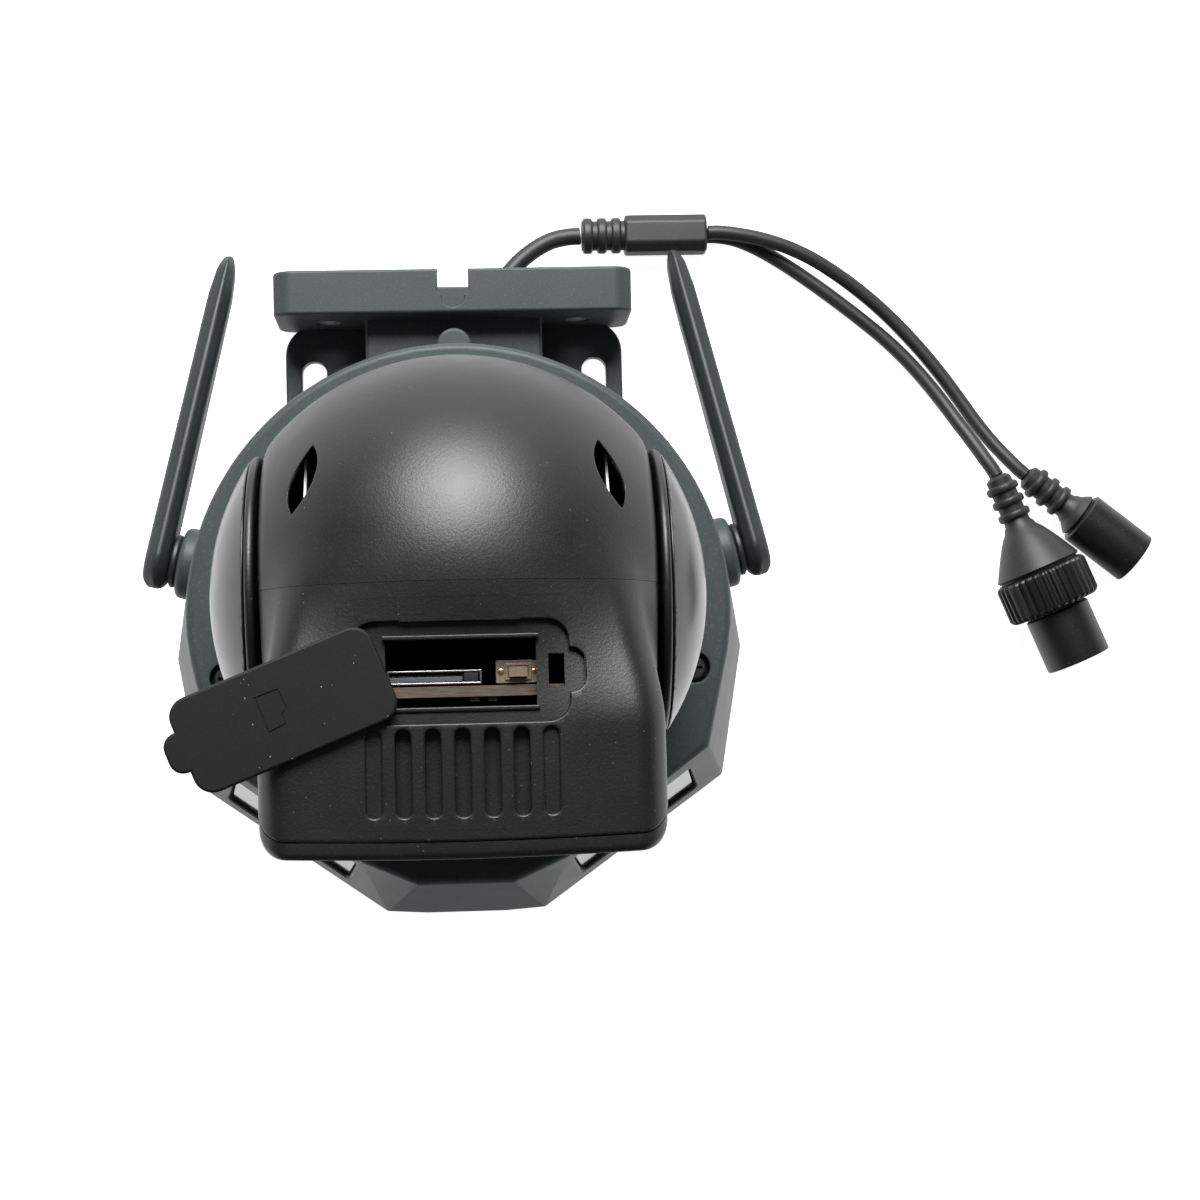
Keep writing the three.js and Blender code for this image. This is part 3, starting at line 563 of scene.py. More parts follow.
def junction_block():
    y, z, half = JUNCTION["y"], JUNCTION["z"], JUNCTION["half"]
    corner = 1.6
    octagon = [(y - half, z - half + corner), (y - half + corner, z - half), (y + half - corner, z - half),
               (y + half, z - half + corner), (y + half, z + half - corner), (y + half - corner, z + half),
               (y - half + corner, z + half), (y - half, z + half - corner)]
    body = soft_prism(rounded_corners(octagon, 0.5), JUNCTION["block"], JUNCTION["end"], "X", 0.6)
    relief = rod(y, z, 2.9, JUNCTION["start"], JUNCTION["block"] + 1, "X", 48)
    ribs = []
    for start in (0.2, 3.0, 5.8):
        low = JUNCTION["start"] + start
        ribs.append(soft_prism(circle(y, z, 3.5, 48), low, low + 1.9, "X", 0.5))
    return finish("junction_block", join(body, relief, *ribs))


def plug_place(plug):
    turn = math.atan2(plug["heading"][1], plug["heading"][0])
    return Matrix.Translation(plug["at"]) @ Matrix.Rotation(turn, 4, "Z")


def plug_boot(node, plug, reach, end_radius):
    """A ribbed strain relief that runs into a smooth cone."""
    profile = [(-0.3, 1.6), (0, 2.0), (0.4, 2.5)]
    for start in (1.5, 4.3, 7.1):
        profile += [(start, 2.5), (start + 0.25, 3.05), (start + 0.55, 3.2), (start + 1.25, 3.2),
                    (start + 1.55, 3.05), (start + 1.8, 2.5)]
    profile += [(9.8, 2.6), (10.3, 3.0), (11.0, 3.25)]
    steps = 8
    for i in range(1, steps + 1):
        part = i / steps
        profile.append((11 + (reach - 11.4) * part, 3.25 + (end_radius - 3.25) * part ** 0.85))
    profile += [(reach, end_radius - 0.35), (reach, end_radius - 0.6), (reach + 0.27, end_radius - 0.6)]
    return finish(node, placed(turned(profile), plug_place(plug)), edge=0)


def plug_nut():
    ridges, low, high = 36, 8.7, 9.15
    rings = []
    for x, sink in ((20, 0.9), (20.35, 0.35), (20.9, 0), (27.1, 0), (27.65, 0.35), (28, 0.9)):
        ring = []
        for i in range(ridges * 4):
            radius = (high if i % 4 in (0, 1) else low) - sink
            angle = TURN * i / (ridges * 4)
            ring.append((x, radius * math.cos(angle), radius * math.sin(angle)))
        rings.append(ring)
    return finish("network_plug_nut", placed(loft(rings), plug_place(NETWORK_PLUG)), edge=0)


def open_barrel(node, plug, x0, x1, radius, mouth, depth):
    """A round connector shell that is open at its far end."""
    r = 0.4
    profile = [(x0, radius - r), (x0 + r, radius), (x1 - r, radius), (x1 - 0.12, radius - 0.12), (x1, radius - r),
               (x1, mouth + 0.3), (x1 - 0.3, mouth), (x1 - depth, mouth), (x1 - depth, 0.02)]
    return finish(node, placed(turned(profile), plug_place(plug)), edge=0)


def contacts(node, plug, end, count, radius):
    """Small gold blades in a row on the floor of the connector's mouth."""
    parts = []
    for i in range(count):
        across = (i - (count - 1) / 2) * (2 * radius / count)
        parts.append(box(end - 3.4, end - 1.2, across - 0.22, across + 0.22, -0.5, 0.9))
    first, rest = parts[0], parts[1:]
    return finish(node, placed(join(first, *rest), plug_place(plug)), "brass", edge=0.05, extra="contacts")


def cord_set():
    block = junction_block()
    main, main_length = cable("main_cable", MAIN_ROUTE, 1.7)
    network, network_length = cable("network_branch", NETWORK_ROUTE, 1.4)
    power, power_length = cable("power_branch", POWER_ROUTE, 1.4)
    network_parts = [
        plug_boot("network_plug_boot", NETWORK_PLUG, 19.7, 8.4),
        plug_nut(),
        open_barrel("network_plug_barrel", NETWORK_PLUG, 28.3, 39.2, 6.35, 5, 3.6),
        contacts("network_plug_barrel", NETWORK_PLUG, 39.2, 8, 3.6),
    ]
    power_parts = [
        plug_boot("power_plug_boot", POWER_PLUG, 13, 4.6),
        open_barrel("power_plug_body", POWER_PLUG, 13.3, 27, 5.3, 3.9, 3.6),
        contacts("power_plug_body", POWER_PLUG, 27, 1, 0.6),
    ]


cord_set()


# ---- Bracket ----
def mount_bracket():
    plate = soft_prism(rounded(-PLATE["half"], PLATE["half"], PLATE["front"], PLATE["rear"], PLATE["corner"]),
                       0, PLATE["thick"])
    half, wall, front, rear, high = (TRAY[key] for key in ("half", "wall", "front", "rear", "high"))
    tray = soft_prism(rounded(-half, half, 0, high, TRAY["corner"], 12), front, rear, "Y", 0.6)
    neck = cut(prism(rounded(-NECK["half"], NECK["half"], PLATE["thick"] - 2, NECK["top"], 0.8), 44, front + 1, "Y"),
               rod(0, 0, BASE["radius"] + 0.6, PLATE["thick"], NECK["top"] + 1, sides=128))
    tools = [
        flared(rounded(wall - half, half - wall, wall, high - wall, 2), front + wall, rear, "Y", 0.4),
        box(-NECK["hollow_half"], NECK["hollow_half"], 40, front + wall + 0.5, -1, NECK["hollow_top"]),
        flared(rounded(-2.9, 2.9, 61.5, 70, 1), high - wall - 1, high, edge=0.4),
        flared(circle(0, 61.3, 2.2, 40), high - 0.6, high, edge=0.3),
    ]
    for _, side in SIDES:
        x, neck_half = side * KEYHOLE["x"], KEYHOLE["neck"]
        slot = rounded(x - neck_half, x + neck_half, KEYHOLE["head_y"], KEYHOLE["end_y"], neck_half - 0.05, 12)
        for outline in (slot, circle(x, KEYHOLE["head_y"], KEYHOLE["head"], 64),
                        circle(side * BRACKET_SCREW_X, 0, 1.8, 40)):
            tools.append(flared(outline, 0, PLATE["thick"], edge=0.35, ends="both"))
        tools.append(rod(side * BRACKET_SCREW_X, 0, 3.4, -1, 1.9, sides=48))
        tools.append(flared(circle(side * 24, high / 2, 2.2, 40), front, front + wall + 1, "Y", 0.3, "low"))
    return finish("mount_bracket", cut(join(plate, tray, neck), *tools))


# ---- Base ----
def base_outline(front, inset, steps=90):
    """The base seen from above: a half circle at the rear, then the flared front corners."""
    points = arc(0, 0, BASE["radius"], 0, 180, steps)
    points += [(-x, y) for x, y in front] + front[::-1]
    return [(x * (1 - inset / math.hypot(x, y)), y * (1 - inset / math.hypot(x, y))) for x, y in points]


def at_level(points, z):
    return [(x, y, z) for x, y in points]


def lamp_place(side):
    """The middle of a lamp facet, with X along it, Y up its slope and Z out of it."""
    def corner(point, z):
        return Vector((side * point[0], point[1], z))
    low_side, low_middle = corner(FRONT_LOW[2], BASE["flare"]), corner(FRONT_LOW[3], BASE["flare"])
    top = (corner(FRONT_TOP[2], BASE["top"]) + corner(FRONT_TOP[3], BASE["top"])) / 2
    low = (low_side + low_middle) / 2
    along = ((low_side - low_middle) * side).normalized()
    slope = top - low
    slope = (slope - along * slope.dot(along)).normalized()
    out = along.cross(slope)
    turn = Matrix((along, slope, out)).transposed().to_4x4()
    return Matrix.Translation((top + low) / 2) @ turn


def antenna_place(side):
    turn = math.radians(ANTENNA["turn"])
    return Matrix.Translation((0, 0, ANTENNA["z"])) @ Matrix.Rotation(turn if side > 0 else math.pi - turn, 4, "Z")


def rounded_hull(levels, edge):
    """The convex body around outlines at their heights, with all its edges rounded."""
    points = []
    lifts = [math.radians(a) for a in range(-90, 91, 15)]
    for outline, z, rise in levels:
        core = inset(outline, edge)
        for (ax, ay), (x, y), (bx, by) in zip(core[-1:] + core[:-1], core, core[1:] + core[:1]):
            start, end = math.atan2(ax - x, y - ay), math.atan2(x - bx, by - y)
            spread = (start - end + math.pi) % TURN - math.pi
            count = max(1, round(abs(spread) / math.radians(12)))
            for i in range(count):
                turn = start - spread * (i + 0.5) / count
                for lift in lifts:
                    flat = edge * math.cos(lift)
                    points.append((x + flat * math.cos(turn), y + flat * math.sin(turn),
                                   z + rise * edge + edge * math.sin(lift)))
    return hull(points)


def base_housing():
    wall, top, flare, bottom = BASE["wall"], BASE["top"], BASE["flare"], BASE["bottom"]
    upper, lower = base_outline(FRONT_TOP, 0), base_outline(FRONT_LOW, 0)
    shell = rounded_hull([(upper, top, -1), (lower, flare, 0), (lower, bottom, 1)], BASE["edge"])
    inside = at_level(base_outline(FRONT_TOP, wall), BASE["ceiling"]) + at_level(
        base_outline(FRONT_LOW, wall), flare) + at_level(base_outline(FRONT_LOW, wall), bottom - 1)
    bosses = [soft_prism(circle(0, 50.4, 3.2, 64), 14, 28, edge=0.6)]
    tools = [
        flared(circle(0, 0, PAN_SEAT["radius"], 180), PAN_SEAT["floor"], top, edge=0.4),
        rod(0, 0, 16, BASE["ceiling"] - 1, PAN_SEAT["floor"] + 1),
        rod(GLAND["x"], GLAND["z"], GLAND["neck"] + GAP, 45, 52, "Y"),
    ]
    half, high, lip = LAMP["half"], LAMP["half_high"], LAMP["lip"]
    for _, side in SIDES:
        lamp, swivel = lamp_place(side), antenna_place(side)
        x, y = side * BASE_SCREW[0], BASE_SCREW[1]
        bosses.append(placed(turned([(44, 6.7), (52.0, 6.7), (52.6, 6.55), (53.0, 6.15), (53.2, 5.6)]), swivel))
        tools += [
            placed(rod(0, 0, 2.3, 43, 54, "X"), swivel),
            placed(flared(rounded(-half, half, -high, high, 1.2), -LAMP["pocket"], 0, edge=0.5), lamp),
            placed(box(lip - half, half - lip, lip - high, high - lip, -8, 3), lamp),
            flared(circle(x, y, 2.8, 64), 31.8, top, edge=0.3),
            rod(x, y, 1.5, BASE["ceiling"] - 1, 32),
        ]
    return finish("base_housing", cut(join(shell, *bosses), hull(inside), *tools))


def screw(node, x, y, low, head_low, head_radius, head_high):
    """A pan-head screw with a cross recess."""
    head = cut(soft_prism(circle(x, y, head_radius, 48), head_low, head_high, edge=0.7, ends="high"),
               box(x - 1.5, x + 1.5, y - 0.32, y + 0.32, head_high - 0.8, head_high + 1),
               box(x - 0.32, x + 0.32, y - 1.5, y + 1.5, head_high - 0.8, head_high + 1))
    return finish(node, join(head, rod(x, y, 1.2, low, head_low + 0.2, sides=32)), "dark")


def lamp_window(side):
    half, high = LAMP["half"] - GAP, LAMP["half_high"] - GAP
    return placed(soft_prism(rounded(-half, half, -high, high, 1.0), -1.5, -0.7, edge=0.2), lamp_place(side))


def lamp_reflector(side):
    """Four lamp cups in a row behind the window."""
    plate = box(-11.6, 11.6, -5.8, 5.8, -6.2, -5.4)
    cups = []
    for x in (-8.4, -2.8, 2.8, 8.4):
        cups.append(rod(x, 0, 1.75, -5.6, -4.4, sides=32))
    return placed(join(plate, *cups), lamp_place(side))


def cable_gland():
    x, z, face = GLAND["x"], GLAND["z"], GLAND["face"]
    flange = soft_prism(circle(x, z, GLAND["radius"], 48), 49.85, face, "Y", 0.4)
    return join(flange, rod(x, z, GLAND["neck"], 47, 50, "Y", 48))


def static_pieces():
    mount_bracket()
    base_housing()
    finish("cable_gland", cable_gland())
    for name, side in SIDES:
        screw(f"base_screw_{name}", side * BASE_SCREW[0], BASE_SCREW[1], 24, 32.1, 2.4, 33.8)
        finish(f"lamp_window_{name}", lamp_window(side))
        finish(f"lamp_board_{name}", lamp_reflector(side))


static_pieces()


# ---- Antennas ----
def antenna_hub(side):
    neck = turned([(47.5, 1.8), (47.8, 2.0), (53.4, 2.0), (53.5, 4.7), (53.8, 5.0), (54.3, 5.0), (54.6, 4.7)])
    return placed(neck, antenna_place(side))


def antenna_blade(side):
    """A paddle with a ridged edge, round about its swivel axis and drawn to a bullet at the tip."""
    dip = math.radians(ANTENNA["pitch"])
    along = Vector((0, side * math.cos(dip), -math.sin(dip)))
    across = Vector((0, math.sin(dip) * side, math.cos(dip)))
    middle = ANTENNA["blade"] + ANTENNA["thick"] / 2
    root, tip, reach = BLADE["root"], BLADE["tip"], BLADE["reach"]
    stations = [-root * math.cos(math.radians(a)) for a in range(4, 91, 7)]
    stations += [reach * i / 12 for i in range(1, 12)]
    stations += [reach + tip * math.sin(math.radians(a)) for a in range(0, 89, 8)]
    rings = []
    for s in stations:
        if s < 0:
            half = math.sqrt(root ** 2 - s ** 2)
        elif s < reach:
            half = root + (tip - root) * s / reach
        else:
            half = math.sqrt(max(tip ** 2 - (s - reach) ** 2, 0.2))
        near_tip = max(0.0, (s - (reach - 7)) / (tip + 7.4))
        near_root = max(0.0, (-s - root + 2.2) / 2.4)
        thick = ANTENNA["thick"] / 2 * math.sqrt(max(1 - near_tip ** 2.2, 0.03)) * math.sqrt(
            max(1 - near_root ** 2, 0.1))
        flat = max(half - 1.9, half * 0.35)
        section = [(thick, -flat), (thick, flat), (-0.25, half), (-thick, flat), (-thick, -flat), (-0.25, -half)]
        section = rounded_corners(section, min(1.5, thick * 0.45, flat * 0.45), 6)
        rings.append([Vector((middle + t, 0, 0)) + along * s + across * w for t, w in section])
    return placed(loft(rings), antenna_place(side))


for label, hand in SIDES:
    finish(f"antenna_hub_{label}", antenna_hub(hand), "aerial")
    finish(f"antenna_blade_{label}", antenna_blade(hand), "aerial")


# ---- Turntable, arms and ear covers ----
def arm_outline(inset, low):
    """Side view of an arm: a disc about the tilt axis that runs straight down to the turntable."""
    half = EAR["half"] - inset
    return [(-half, low), (half, low)] + arc(0, TILT_Z, half, 0, 180, 64)


def slab_range(side, near, far):
    return sorted((side * near, side * far))


def pan_yoke():
    plates = []
    for _, side in SIDES:
        near, far = slab_range(side, EAR["plate"], EAR["plate"] + EAR["plate_thick"])
        plate = soft_prism(arm_outline(1.6, DISC["top"] - 0.5), near, far, "X", 0.65)
        plates.append(common(plate, rod(0, 0, EAR["skirt"], 30, 110, sides=180)))
    body = join(soft_prism(circle(0, 0, DISC["radius"], 180), DISC["low"], DISC["top"], edge=0.3),
                rod(0, 0, HUB["outer"], HUB["low"], DISC["low"] + 0.5), *plates)
    tools = [
        rod(0, 0, HUB["bore"], HUB["low"] - 1, DISC["top"] + 1),
        rod(0, TILT_Z, 5.3, -EAR["plate"] - 3, -EAR["plate"] + 1, "X"),
        rod(0, TILT_Z, 2.7, EAR["plate"] - 1, EAR["plate"] + 3, "X"),
    ]
    return finish("pan_yoke", cut(body, *tools))


def ear_bulk(inset, floor):
    """A dome on a slightly tapered skirt, turned about the pan axis."""
    radius = EAR["radius"] - inset
    skirt = EAR["skirt"] - inset
    profile = [(floor + (TILT_Z - floor) * i / 10, skirt + (radius - skirt) * i / 10) for i in range(10)]
    profile += [(TILT_Z + radius * math.sin(math.radians(a)), radius * math.cos(math.radians(a)))
                for a in range(0, 89, 2)]
    return turned_z(profile, 256)


def ear_cover(side):
    wall = EAR["wall"]
    low = DISC["top"] + GAP
    start = EAR["plate"] + EAR["plate_thick"] + GAP / 2
    rim = math.sqrt(EAR["radius"] ** 2 - start ** 2)
    levels = [(0, 0.64), (0.04, 0.53), (0.12, 0.46), (0.22, 0.44), (0.32, 0.47), (0.37, 0.52), (0.38, -5), (17, -5)]
    rings = []
    for x, sink in levels:
        half = rim - sink
        outline = [(-half, low), (half, low)] + arc(0, TILT_Z, half, 0, 180, 96)
        rings.append([(side * (start + x), y, z) for y, z in outline])
    outer = common(ear_bulk(0, low), loft(rings))
    near, far = slab_range(side, start - 1, 50)
    inner = common(ear_bulk(wall, low + wall), prism(arm_outline(wall, low), near, far, "X"))
    return cut(outer, inner)


pan_yoke()
for label, hand in SIDES:
    finish(f"ear_cover_{label}", ear_cover(hand))


# ---- Head ----
def smooth_step(t):
    t = min(max(t, 0.0), 1.0)
    return t * t * (3 - 2 * t)


def soft_minimum(a, b, reach):
    overlap = max(reach - abs(a - b), 0.0)
    return min(a, b) - overlap ** 2 / (4 * reach)


def nose_reach(c, s, inset):
    """How far the rounded box of the nose reaches from the tilt axis in the direction (c, s)."""
    half = NOSE["half"] - inset
    high = (NOSE["top"] - TILT_Z if s > 0 else TILT_Z - NOSE["low"]) - inset
    corner = max(NOSE["corner"] - inset, 1.5)
    reach = min(half / max(abs(c), 1e-6), high / max(abs(s), 1e-6))
    cx, cz = half - corner, high - corner
    if reach * abs(c) > cx and reach * abs(s) > cz:
        along = abs(c) * cx + abs(s) * cz
        reach = along + math.sqrt(max(along ** 2 - cx ** 2 - cz ** 2 + corner ** 2, 0))
    return reach


def head_reach(c, s, y, inset_by):
    """The head's reach from the tilt axis: a flat-sided ball that turns into the nose's rounded box."""
    swell = math.sqrt(max((HEAD["radius"] - inset_by) ** 2 - y ** 2, 0.01))
    reach = soft_minimum(swell, (HEAD["half"] - inset_by) / max(abs(c), 1e-6), 1.6)
    share = smooth_step((NOSE["begin"] - y) / (NOSE["begin"] - NOSE["full"]))
    if share:
        reach += (nose_reach(c, s, inset_by) - reach) * share
    return reach


def head_ring(y, inset_by, sides=420):
    ring = []
    for c, s in circle(0, 0, 1, sides):
        reach = head_reach(c, s, y, inset_by)
        ring.append((reach * c, y, TILT_Z + reach * s))
    return ring


def head_height(x, y):
    """Height of the head's upper surface above a point, found by halving the range of its angle."""
    low, high = 0.0, math.pi
    for _ in range(30):
        middle = (low + high) / 2
        c, s = math.cos(middle), math.sin(middle)
        if head_reach(c, s, y, 0) * c > x:
            low = middle
        else:
            high = middle
    return TILT_Z + head_reach(c, s, y, 0) * s


def head_front(inset_by, start, end, edge=0.0):
    """The front of the head, from near the parting line to the face, as a closed body."""
    blend = [NOSE["full"] * i / 16 for i in range(1, 17)]
    straight = [NOSE["full"] + (NOSE["bend"] - NOSE["full"]) * i / 3 for i in range(1, 4)]
    bent = [NOSE["bend"] + (end + 0.6 - NOSE["bend"]) * i / 10 for i in range(1, 11)]
    rings = [head_ring(y, inset_by) for y in [start] + blend + straight + bent]
    if edge:
        rings += [head_ring(end + along, inset_by + side) for side, along in quarter(edge)[::-1]]
    else:
        rings.append(head_ring(end, inset_by))
    return loft(rings)


def head_rear(inset_by, start):
    radius = HEAD["radius"] - inset_by
    levels = [start] + [radius * math.sin(math.radians(a)) for a in range(2, 90, 2)] + [radius * 0.99995]
    return loft([head_ring(y, inset_by) for y in levels])


def quadratic(a, b, c, steps=14):
    points = []
    for i in range(steps):
        t = i / steps
        points.append(tuple((1 - t) ** 2 * p + 2 * t * (1 - t) * q + t ** 2 * r for p, q, r in zip(a, b, c)))
    return points


def leaf_outline(side):
    rear, front = (side * 22, 22.4), (side * 25.2, 11.2)
    sides = quadratic(rear, (side * 19.4, 18.2), front) + quadratic(front, (side * 27.6, 15.2), rear)
    return rounded_corners(sides, 0.25, 2)


def pivot_hole():
    return rod(0, TILT_Z, PIVOT_HOLE, -40, 40, "X")


def head_rear_shell():
    shell = cut(head_rear(0, PARTING), head_rear(HEAD["wall"], -1), pivot_hole())
    for _, side in SIDES:
        outline = leaf_outline(side)
        shell = cut(shell, prism(outline, TILT_Z + 10, TILT_Z + 40), rim_cutter(outline, head_height, 0.22))
    return shell


def door_outline(grow):
    """The door seen from above: a rounded rectangle with a finger lobe on one side."""
    half, y, rise, corner = DOOR["half"] + grow, DOOR["y"], DOOR["high"] / 2 + grow, DOOR["corner"] + grow
    tip, lobe, bend = DOOR["lobe"] + grow, 3.1 + grow, 2.2
    return (arc(half - corner, y - rise + corner, corner, -90, 0, 8) + [(half, y - lobe)]
            + arc(tip - bend, y - lobe + bend, bend, -90, 0, 8) + arc(tip - bend, y + lobe - bend, bend, 0, 90, 8)
            + [(half, y + lobe)] + arc(half - corner, y + rise - corner, corner, 0, 90, 8)
            + arc(corner - half, y + rise - corner, corner, 90, 180, 8)
            + arc(corner - half, y - rise + corner, corner, 180, 270, 8))


def vent_slots():
    made = []
    for i in range(VENT["count"]):
        x = (i - (VENT["count"] - 1) / 2) * VENT["pitch"]
        blind = i in (0, VENT["count"] - 1)
        outline = rounded(x - VENT["half"], x + VENT["half"], VENT["front"], VENT["rear"], VENT["half"] - 0.05, 8)
        made.append(flared(outline, NOSE["top"] - (0.9 if blind else 6), NOSE["top"], edge=0.3))
    return made


def insert_line():
    """The faint raised line that the mould's insert leaves around the door and the vents."""
    outline = finely(rounded(-INSERT["half"], INSERT["half"], INSERT["front"], INSERT["rear"], INSERT["corner"]), 1)
    rings = []
    for side, rise in ((0, -0.1), (INSERT["wide"], -0.1), (INSERT["wide"] * 0.75, INSERT["high"]),
                       (INSERT["wide"] * 0.25, INSERT["high"])):
        rings.append([(x, y, head_height(x, y) + rise) for x, y in inset(outline, side)])
    return bowed(loft(rings, looped=True))


def head_front_shell():
    shell = cut(head_front(0, -PARTING, NOSE["face"], 0.4), head_front(NOSE["wall"], 1, NOSE["face"] - 1))
    opening = door_outline(0.2)
    recess = cut(prism(opening, 108, NOSE["top"] + 4), head_front(RECESS_DEEP, -0.2, NOSE["face"]))
    shell = cut(shell, recess, rim_cutter(opening, head_height, 0.25), pivot_hole())
    bars = []
    for y in (HATCH["front"] + 0.1, HATCH["rear"] - 0.1):
        bar = rounded(y - 0.35, y + 0.35, RECESS_FLOOR - 1.2, RECESS_FLOOR + 0.45, 0.2, 4)
        bars.append(soft_prism(bar, -HATCH["half"] - 0.4, HATCH["half"] + 0.4, "X", 0.12))
    hatch = box(-HATCH["half"], HATCH["half"], HATCH["front"] + 0.45, HATCH["rear"] - 0.45, 110, 118)
    latch = box(13, 15.4, DOOR["y"] - 2.5, DOOR["y"] + 2.5, 110, 118)
    peg_hole = rod(PEG["x"], DOOR["y"], PEG["radius"] + 0.4, 110, 118, sides=40)
    return bowed(cut(join(shell, *bars), hatch, latch, peg_hole, *vent_slots()))


def finely(outline, step):
    """The same outline with points at most a step apart, so that it can be bent."""
    points = []
    for (x0, y0), (x1, y1) in zip(outline, outline[1:] + outline[:1]):
        count = max(1, math.ceil(math.hypot(x1 - x0, y1 - y0) / step))
        points += [(x0 + (x1 - x0) * i / count, y0 + (y1 - y0) * i / count) for i in range(count)]
    return points


def bowed(made):
    """Rounds the nose off at its sides, seen from above, and bows its face very slightly."""
    corner = NOSE["plan_corner"]
    bm = bmesh.new()
    bm.from_mesh(made.data)
    bmesh.ops.triangulate(bm, faces=[face for face in bm.faces if len(face.verts) > 4])
    bm.to_mesh(made.data)
    bm.free()
    for vert in made.data.vertices:
        share = smooth_step((NOSE["bend"] - vert.co.y) / (NOSE["bend"] - NOSE["face"]))
        past = min(max(abs(vert.co.x) - (NOSE["half"] - corner), 0), corner)
        rounding = corner - math.sqrt(corner ** 2 - past ** 2)
        vert.co.y += (NOSE["bow"] * (vert.co.x / NOSE["half"]) ** 2 + rounding) * share
    return made


def front_bezel():
    half, low, top, corner = NOSE["half"], NOSE["low"], NOSE["top"], NOSE["corner"]
    outline = finely(rounded(-half, half, low, top, corner, 16), 0.6)
    levels = [(0.12, NOSE["face"] - 0.08)] + [(side + 0.12, BEZEL["front"] + along) for side, along in quarter(1.1)[::-1]]
    opening = rounded(-BEZEL["half"], BEZEL["half"], BEZEL["low"], BEZEL["top"], BEZEL["corner"])
    mouth = flared(finely(opening, 1), BEZEL["front"], NOSE["face"] + 1, "Y", 0.4, "low")
    return bowed(cut(through_levels(outline, levels, "Y"), mouth))


def front_window():
    half, low, top = BEZEL["half"] - GAP, BEZEL["low"] + GAP, BEZEL["top"] - GAP
    outline = rounded(-half, half, low, top, BEZEL["corner"] - GAP)
    return soft_prism(outline, BEZEL["front"] + 1.0, NOSE["face"] - 0.4, "Y", 0.25)


def lens_barrel():
    block = box(-9, 9, -24, BOARD["front"] - GAP, LENS_Z - 9, LENS_Z + 9)
    return join(block, rod(0, LENS_Z, 7, -37.2, -23.5, "Y"))


def card_socket():
    """A steel shell around an open slot."""
    rear = BOARD["rear"] + GAP
    shell = box(-11.1, 3.1, rear, rear + 2.1, 97.4, BOARD["top"] + 0.2)
    mouth = box(-10.8, 2.8, rear + 0.3, rear + 1.85, 100, BOARD["top"] + 1)
    return cut(shell, mouth)


def card_tongue():
    rear = BOARD["rear"] + GAP
    return box(-10.7, 0.2, rear + 0.4, rear + 1.15, 100.2, BOARD["top"] - 0.1)


def card_slider():
    """The grey plastic at the end of the socket's mouth."""
    rear = BOARD["rear"] + GAP
    return box(0.4, 2.6, rear + 0.4, rear + 1.7, 100.2, BOARD["top"])


def reset_switch():
    rear = BOARD["rear"] + GAP
    body = box(5.2, 11.4, rear, rear + 3.4, 108.6, BOARD["top"])
    ring = cut(box(6.6, 10.5, rear + 0.4, rear + 2.9, BOARD["top"] - 0.5, BOARD["top"] + 0.25),
               box(7.0, 10.1, rear + 0.75, rear + 2.55, BOARD["top"] - 1, BOARD["top"] + 1))
    return join(body, ring)


def switch_dots():
    rear = BOARD["rear"] + GAP
    return join(rod(5.95, rear + 1.7, 0.5, BOARD["top"] - 0.3, BOARD["top"] + 0.12, sides=32),
                rod(10.95, rear + 1.7, 0.4, BOARD["top"] - 0.3, BOARD["top"] + 0.12, sides=32))


def main_board():
    plate = box(-BOARD["half"], BOARD["half"], BOARD["front"], BOARD["rear"], BOARD["low"], BOARD["top"])
    chips = [box(x, x + wide, BOARD["front"] - 0.7, BOARD["front"] + 0.1, 109.4, 111.2)
             for x, wide in ((1.2, 1.5), (4.0, 1.4))]
    return join(plate, *chips)


def swung(made):
    """Turns what is drawn on the closed door to where the open door is."""
    peg = Vector((PEG["x"], DOOR["y"], 0))
    turn = Matrix.Translation(peg) @ Matrix.Rotation(math.radians(DOOR_OPEN), 4, "Z") @ Matrix.Translation(-peg)
    return placed(made, turn)


def card_door():
    """The rubber door: a soft-edged flap with a finger lobe, its peg, and an outlined card as its only mark."""
    top = DOOR["low"] + DOOR["thick"]
    flap = soft_prism(door_outline(0), DOOR["low"], top, edge=0.45)
    card = [(3.3, -16.9), (3.4, -11.1), (0.4, -11.4), (0.3, -13.0), (-0.6, -13.7), (-0.5, -16.8)]
    middle = Vector((sum(x for x, _ in card) / len(card), sum(y for _, y in card) / len(card)))
    inner = [tuple(middle + (Vector(point) - middle) * 0.87) for point in card]
    groove = cut(prism(card, top - 0.18, top + 1), prism(inner, top - 1, top + 2))
    peg = rod(PEG["x"], DOOR["y"], PEG["radius"], PEG["low"], DOOR["low"] + 0.3, sides=40)
    collar = rod(PEG["x"], DOOR["y"], PEG["radius"] + 0.25, PEG["low"] + 0.2, PEG["low"] + 1, sides=40)
    return swung(join(cut(flap, groove), peg, collar))


def chassis_plate(side):
    near, far = slab_range(side, 23.3, 23.7)
    return prism([(12, 66), (21, 66), (21, 96.5), (12, 102.5)], near, far, "X")


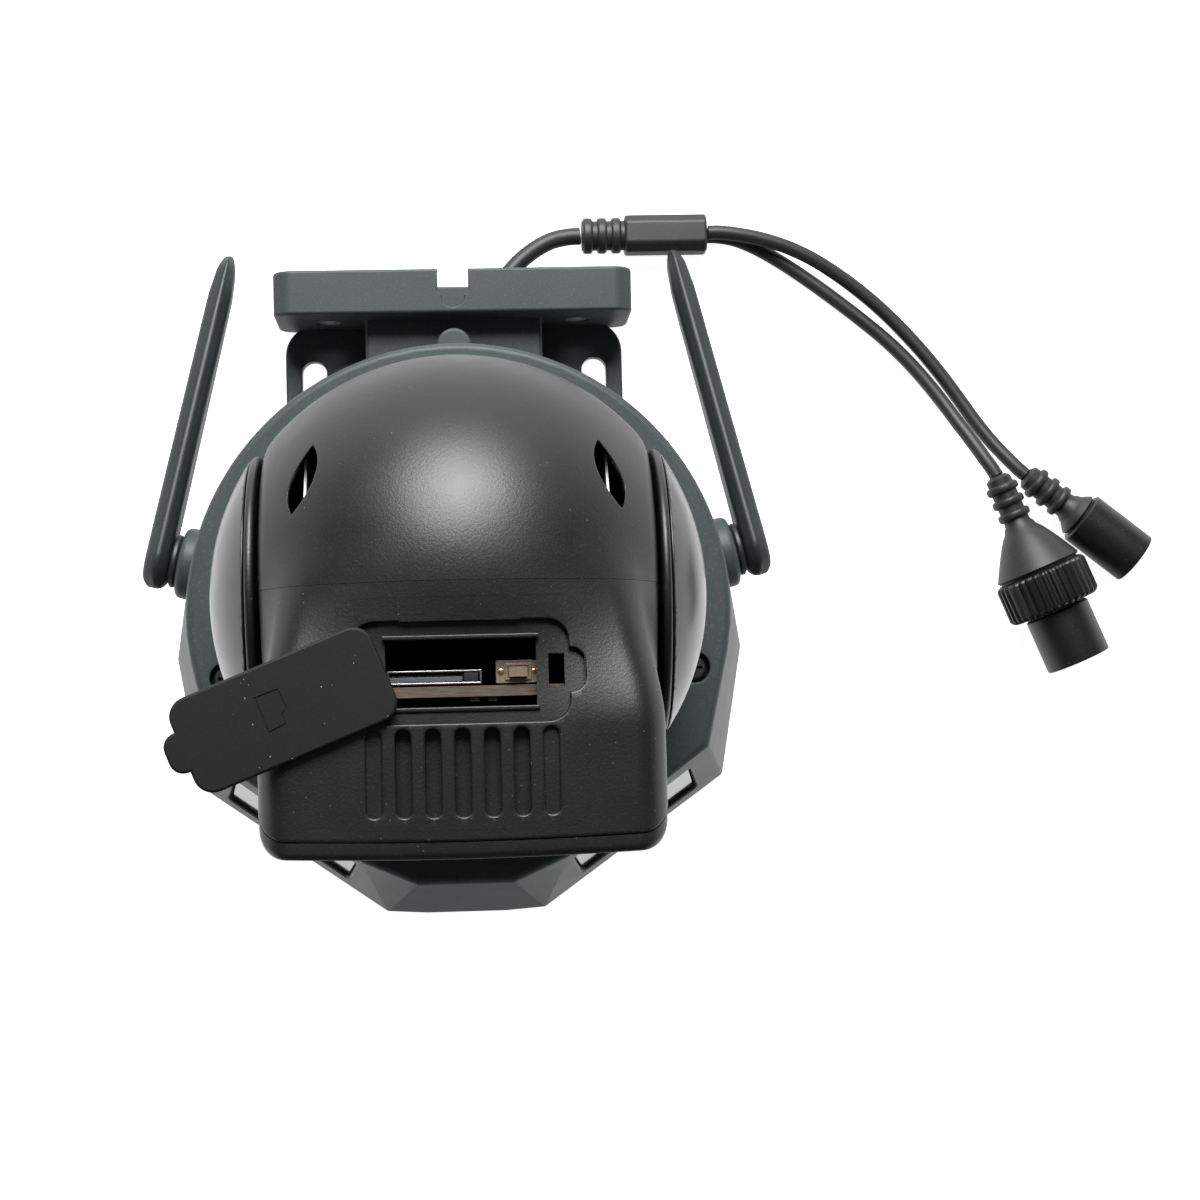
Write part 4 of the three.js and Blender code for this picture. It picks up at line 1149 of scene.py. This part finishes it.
def head_pieces():
    finish("head_rear_shell", head_rear_shell())
    finish("head_front_shell", head_front_shell())
    finish("head_front_shell", insert_line(), extra="insert_line")
    cloth = box(-12.6, 12.6, VENT["front"] - 0.8, VENT["rear"] + 0.8, NOSE["top"] - 3, NOSE["top"] - 2.6)
    finish("head_front_shell", cloth, extra="vent_cloth")
    finish("front_bezel", front_bezel())
    finish("front_window", front_window(), "glass")
    finish("lens_barrel", lens_barrel(), edge=0.3)
    finish("card_socket", card_socket(), "bright", edge=0.08)
    finish("card_socket", card_slider(), "dark", edge=0.1, extra="slider")
    finish("card_socket", card_tongue(), "ash", edge=0.08, extra="tongue")
    finish("reset_switch", reset_switch(), "amber", edge=0.1)
    finish("reset_switch", switch_dots(), "brass", edge=0.08, extra="dots")
    finish("main_board", main_board(), edge=0.08)
    finish("card_door", card_door(), "flap")
    for name, side in SIDES:
        finish(f"chassis_plate_{name}", chassis_plate(side), "plate", edge=0.06)


head_pieces()


# ---- CAD nodes that keep their own shape and only get a material ----
def dress_rest():
    for node, shown in frame["nodes"].items():
        if shown.hide_render:
            continue
        shown.data.materials.clear()
        shown.data.materials.append(LOOKS[LOOK_OF_SLOT[SLOT_OF[node]]])


dress_rest()


# ---- Floor and studio light ----
def add_floor():
    reach = 3.0
    bm = bmesh.new()
    bmesh.ops.create_grid(bm, x_segments=2, y_segments=2, size=reach)
    floor = mesh_object(bm)
    floor.name = "floor"
    look = Nodes("floor_paper", 0.9)
    look.colour(look.ramp(look.noise(60, 1.0), [(0.3, 0.9), (0.7, 0.92)]))
    look.shader.inputs["Emission Color"].default_value = (1, 1, 1, 1)
    look.shader.inputs["Emission Strength"].default_value = 0.92
    floor.data.materials.append(look.material)
    floor.visible_glossy = False
    floor.visible_shadow = False


def add_light(name, place, aim, size, power):
    data = bpy.data.lights.new(name, "AREA")
    data.shape = "DISK"
    data.size = size
    data.energy = power
    light = bpy.data.objects.new(name, data)
    light.location = place
    light.rotation_euler = (Vector(aim) - Vector(place)).to_track_quat("-Z", "Y").to_euler()
    bpy.context.scene.collection.objects.link(light)


def studio_world():
    """White walls and floor to the left, to the right and behind; dim in front and overhead.

    The camera itself sees plain white all round.
    """
    world = bpy.data.worlds.new("studio")
    world.use_nodes = True
    tree = world.node_tree
    place = tree.nodes.new("ShaderNodeTexCoord")
    parts = tree.nodes.new("ShaderNodeSeparateXYZ")
    tree.links.new(place.outputs["Generated"], parts.inputs["Vector"])

    def worked(operation, *values):
        node = tree.nodes.new("ShaderNodeMath")
        node.operation = operation
        for socket, value in zip(node.inputs, values):
            if isinstance(value, (int, float)):
                socket.default_value = value
            else:
                tree.links.new(value, socket)
        return node.outputs["Value"]

    x, y, z = (parts.outputs[axis] for axis in "XYZ")
    around = worked("MAXIMUM", worked("ABSOLUTE", x), y)
    around = worked("MULTIPLY_ADD", worked("MINIMUM", y, 0), 0.32, around)
    below = worked("MULTIPLY_ADD", worked("MINIMUM", z, 0), -0.6, around)
    walls = worked("MULTIPLY_ADD", worked("MAXIMUM", z, 0), -2.0, below)
    shade = tree.nodes.new("ShaderNodeMapRange")
    shade.interpolation_type = "SMOOTHSTEP"
    for name, value in (("From Min", 0.25), ("From Max", 0.85), ("To Min", 0.1), ("To Max", 1.4)):
        shade.inputs[name].default_value = value
    tree.links.new(walls, shade.inputs["Value"])
    seen = tree.nodes.new("ShaderNodeLightPath").outputs["Is Camera Ray"]
    tree.links.new(worked("MAXIMUM", shade.outputs["Result"], seen), tree.nodes["Background"].inputs["Strength"])
    tree.nodes["Background"].inputs["Color"].default_value = (1, 1, 1, 1)
    return world


def add_studio():
    add_floor()
    add_light("softbox", (0.0, 0.58, 0.62), (0, 0, 0.08), 0.56, 15)
    bpy.context.scene.world = studio_world()
    bpy.context.scene.view_settings.view_transform = "Standard"


add_studio()
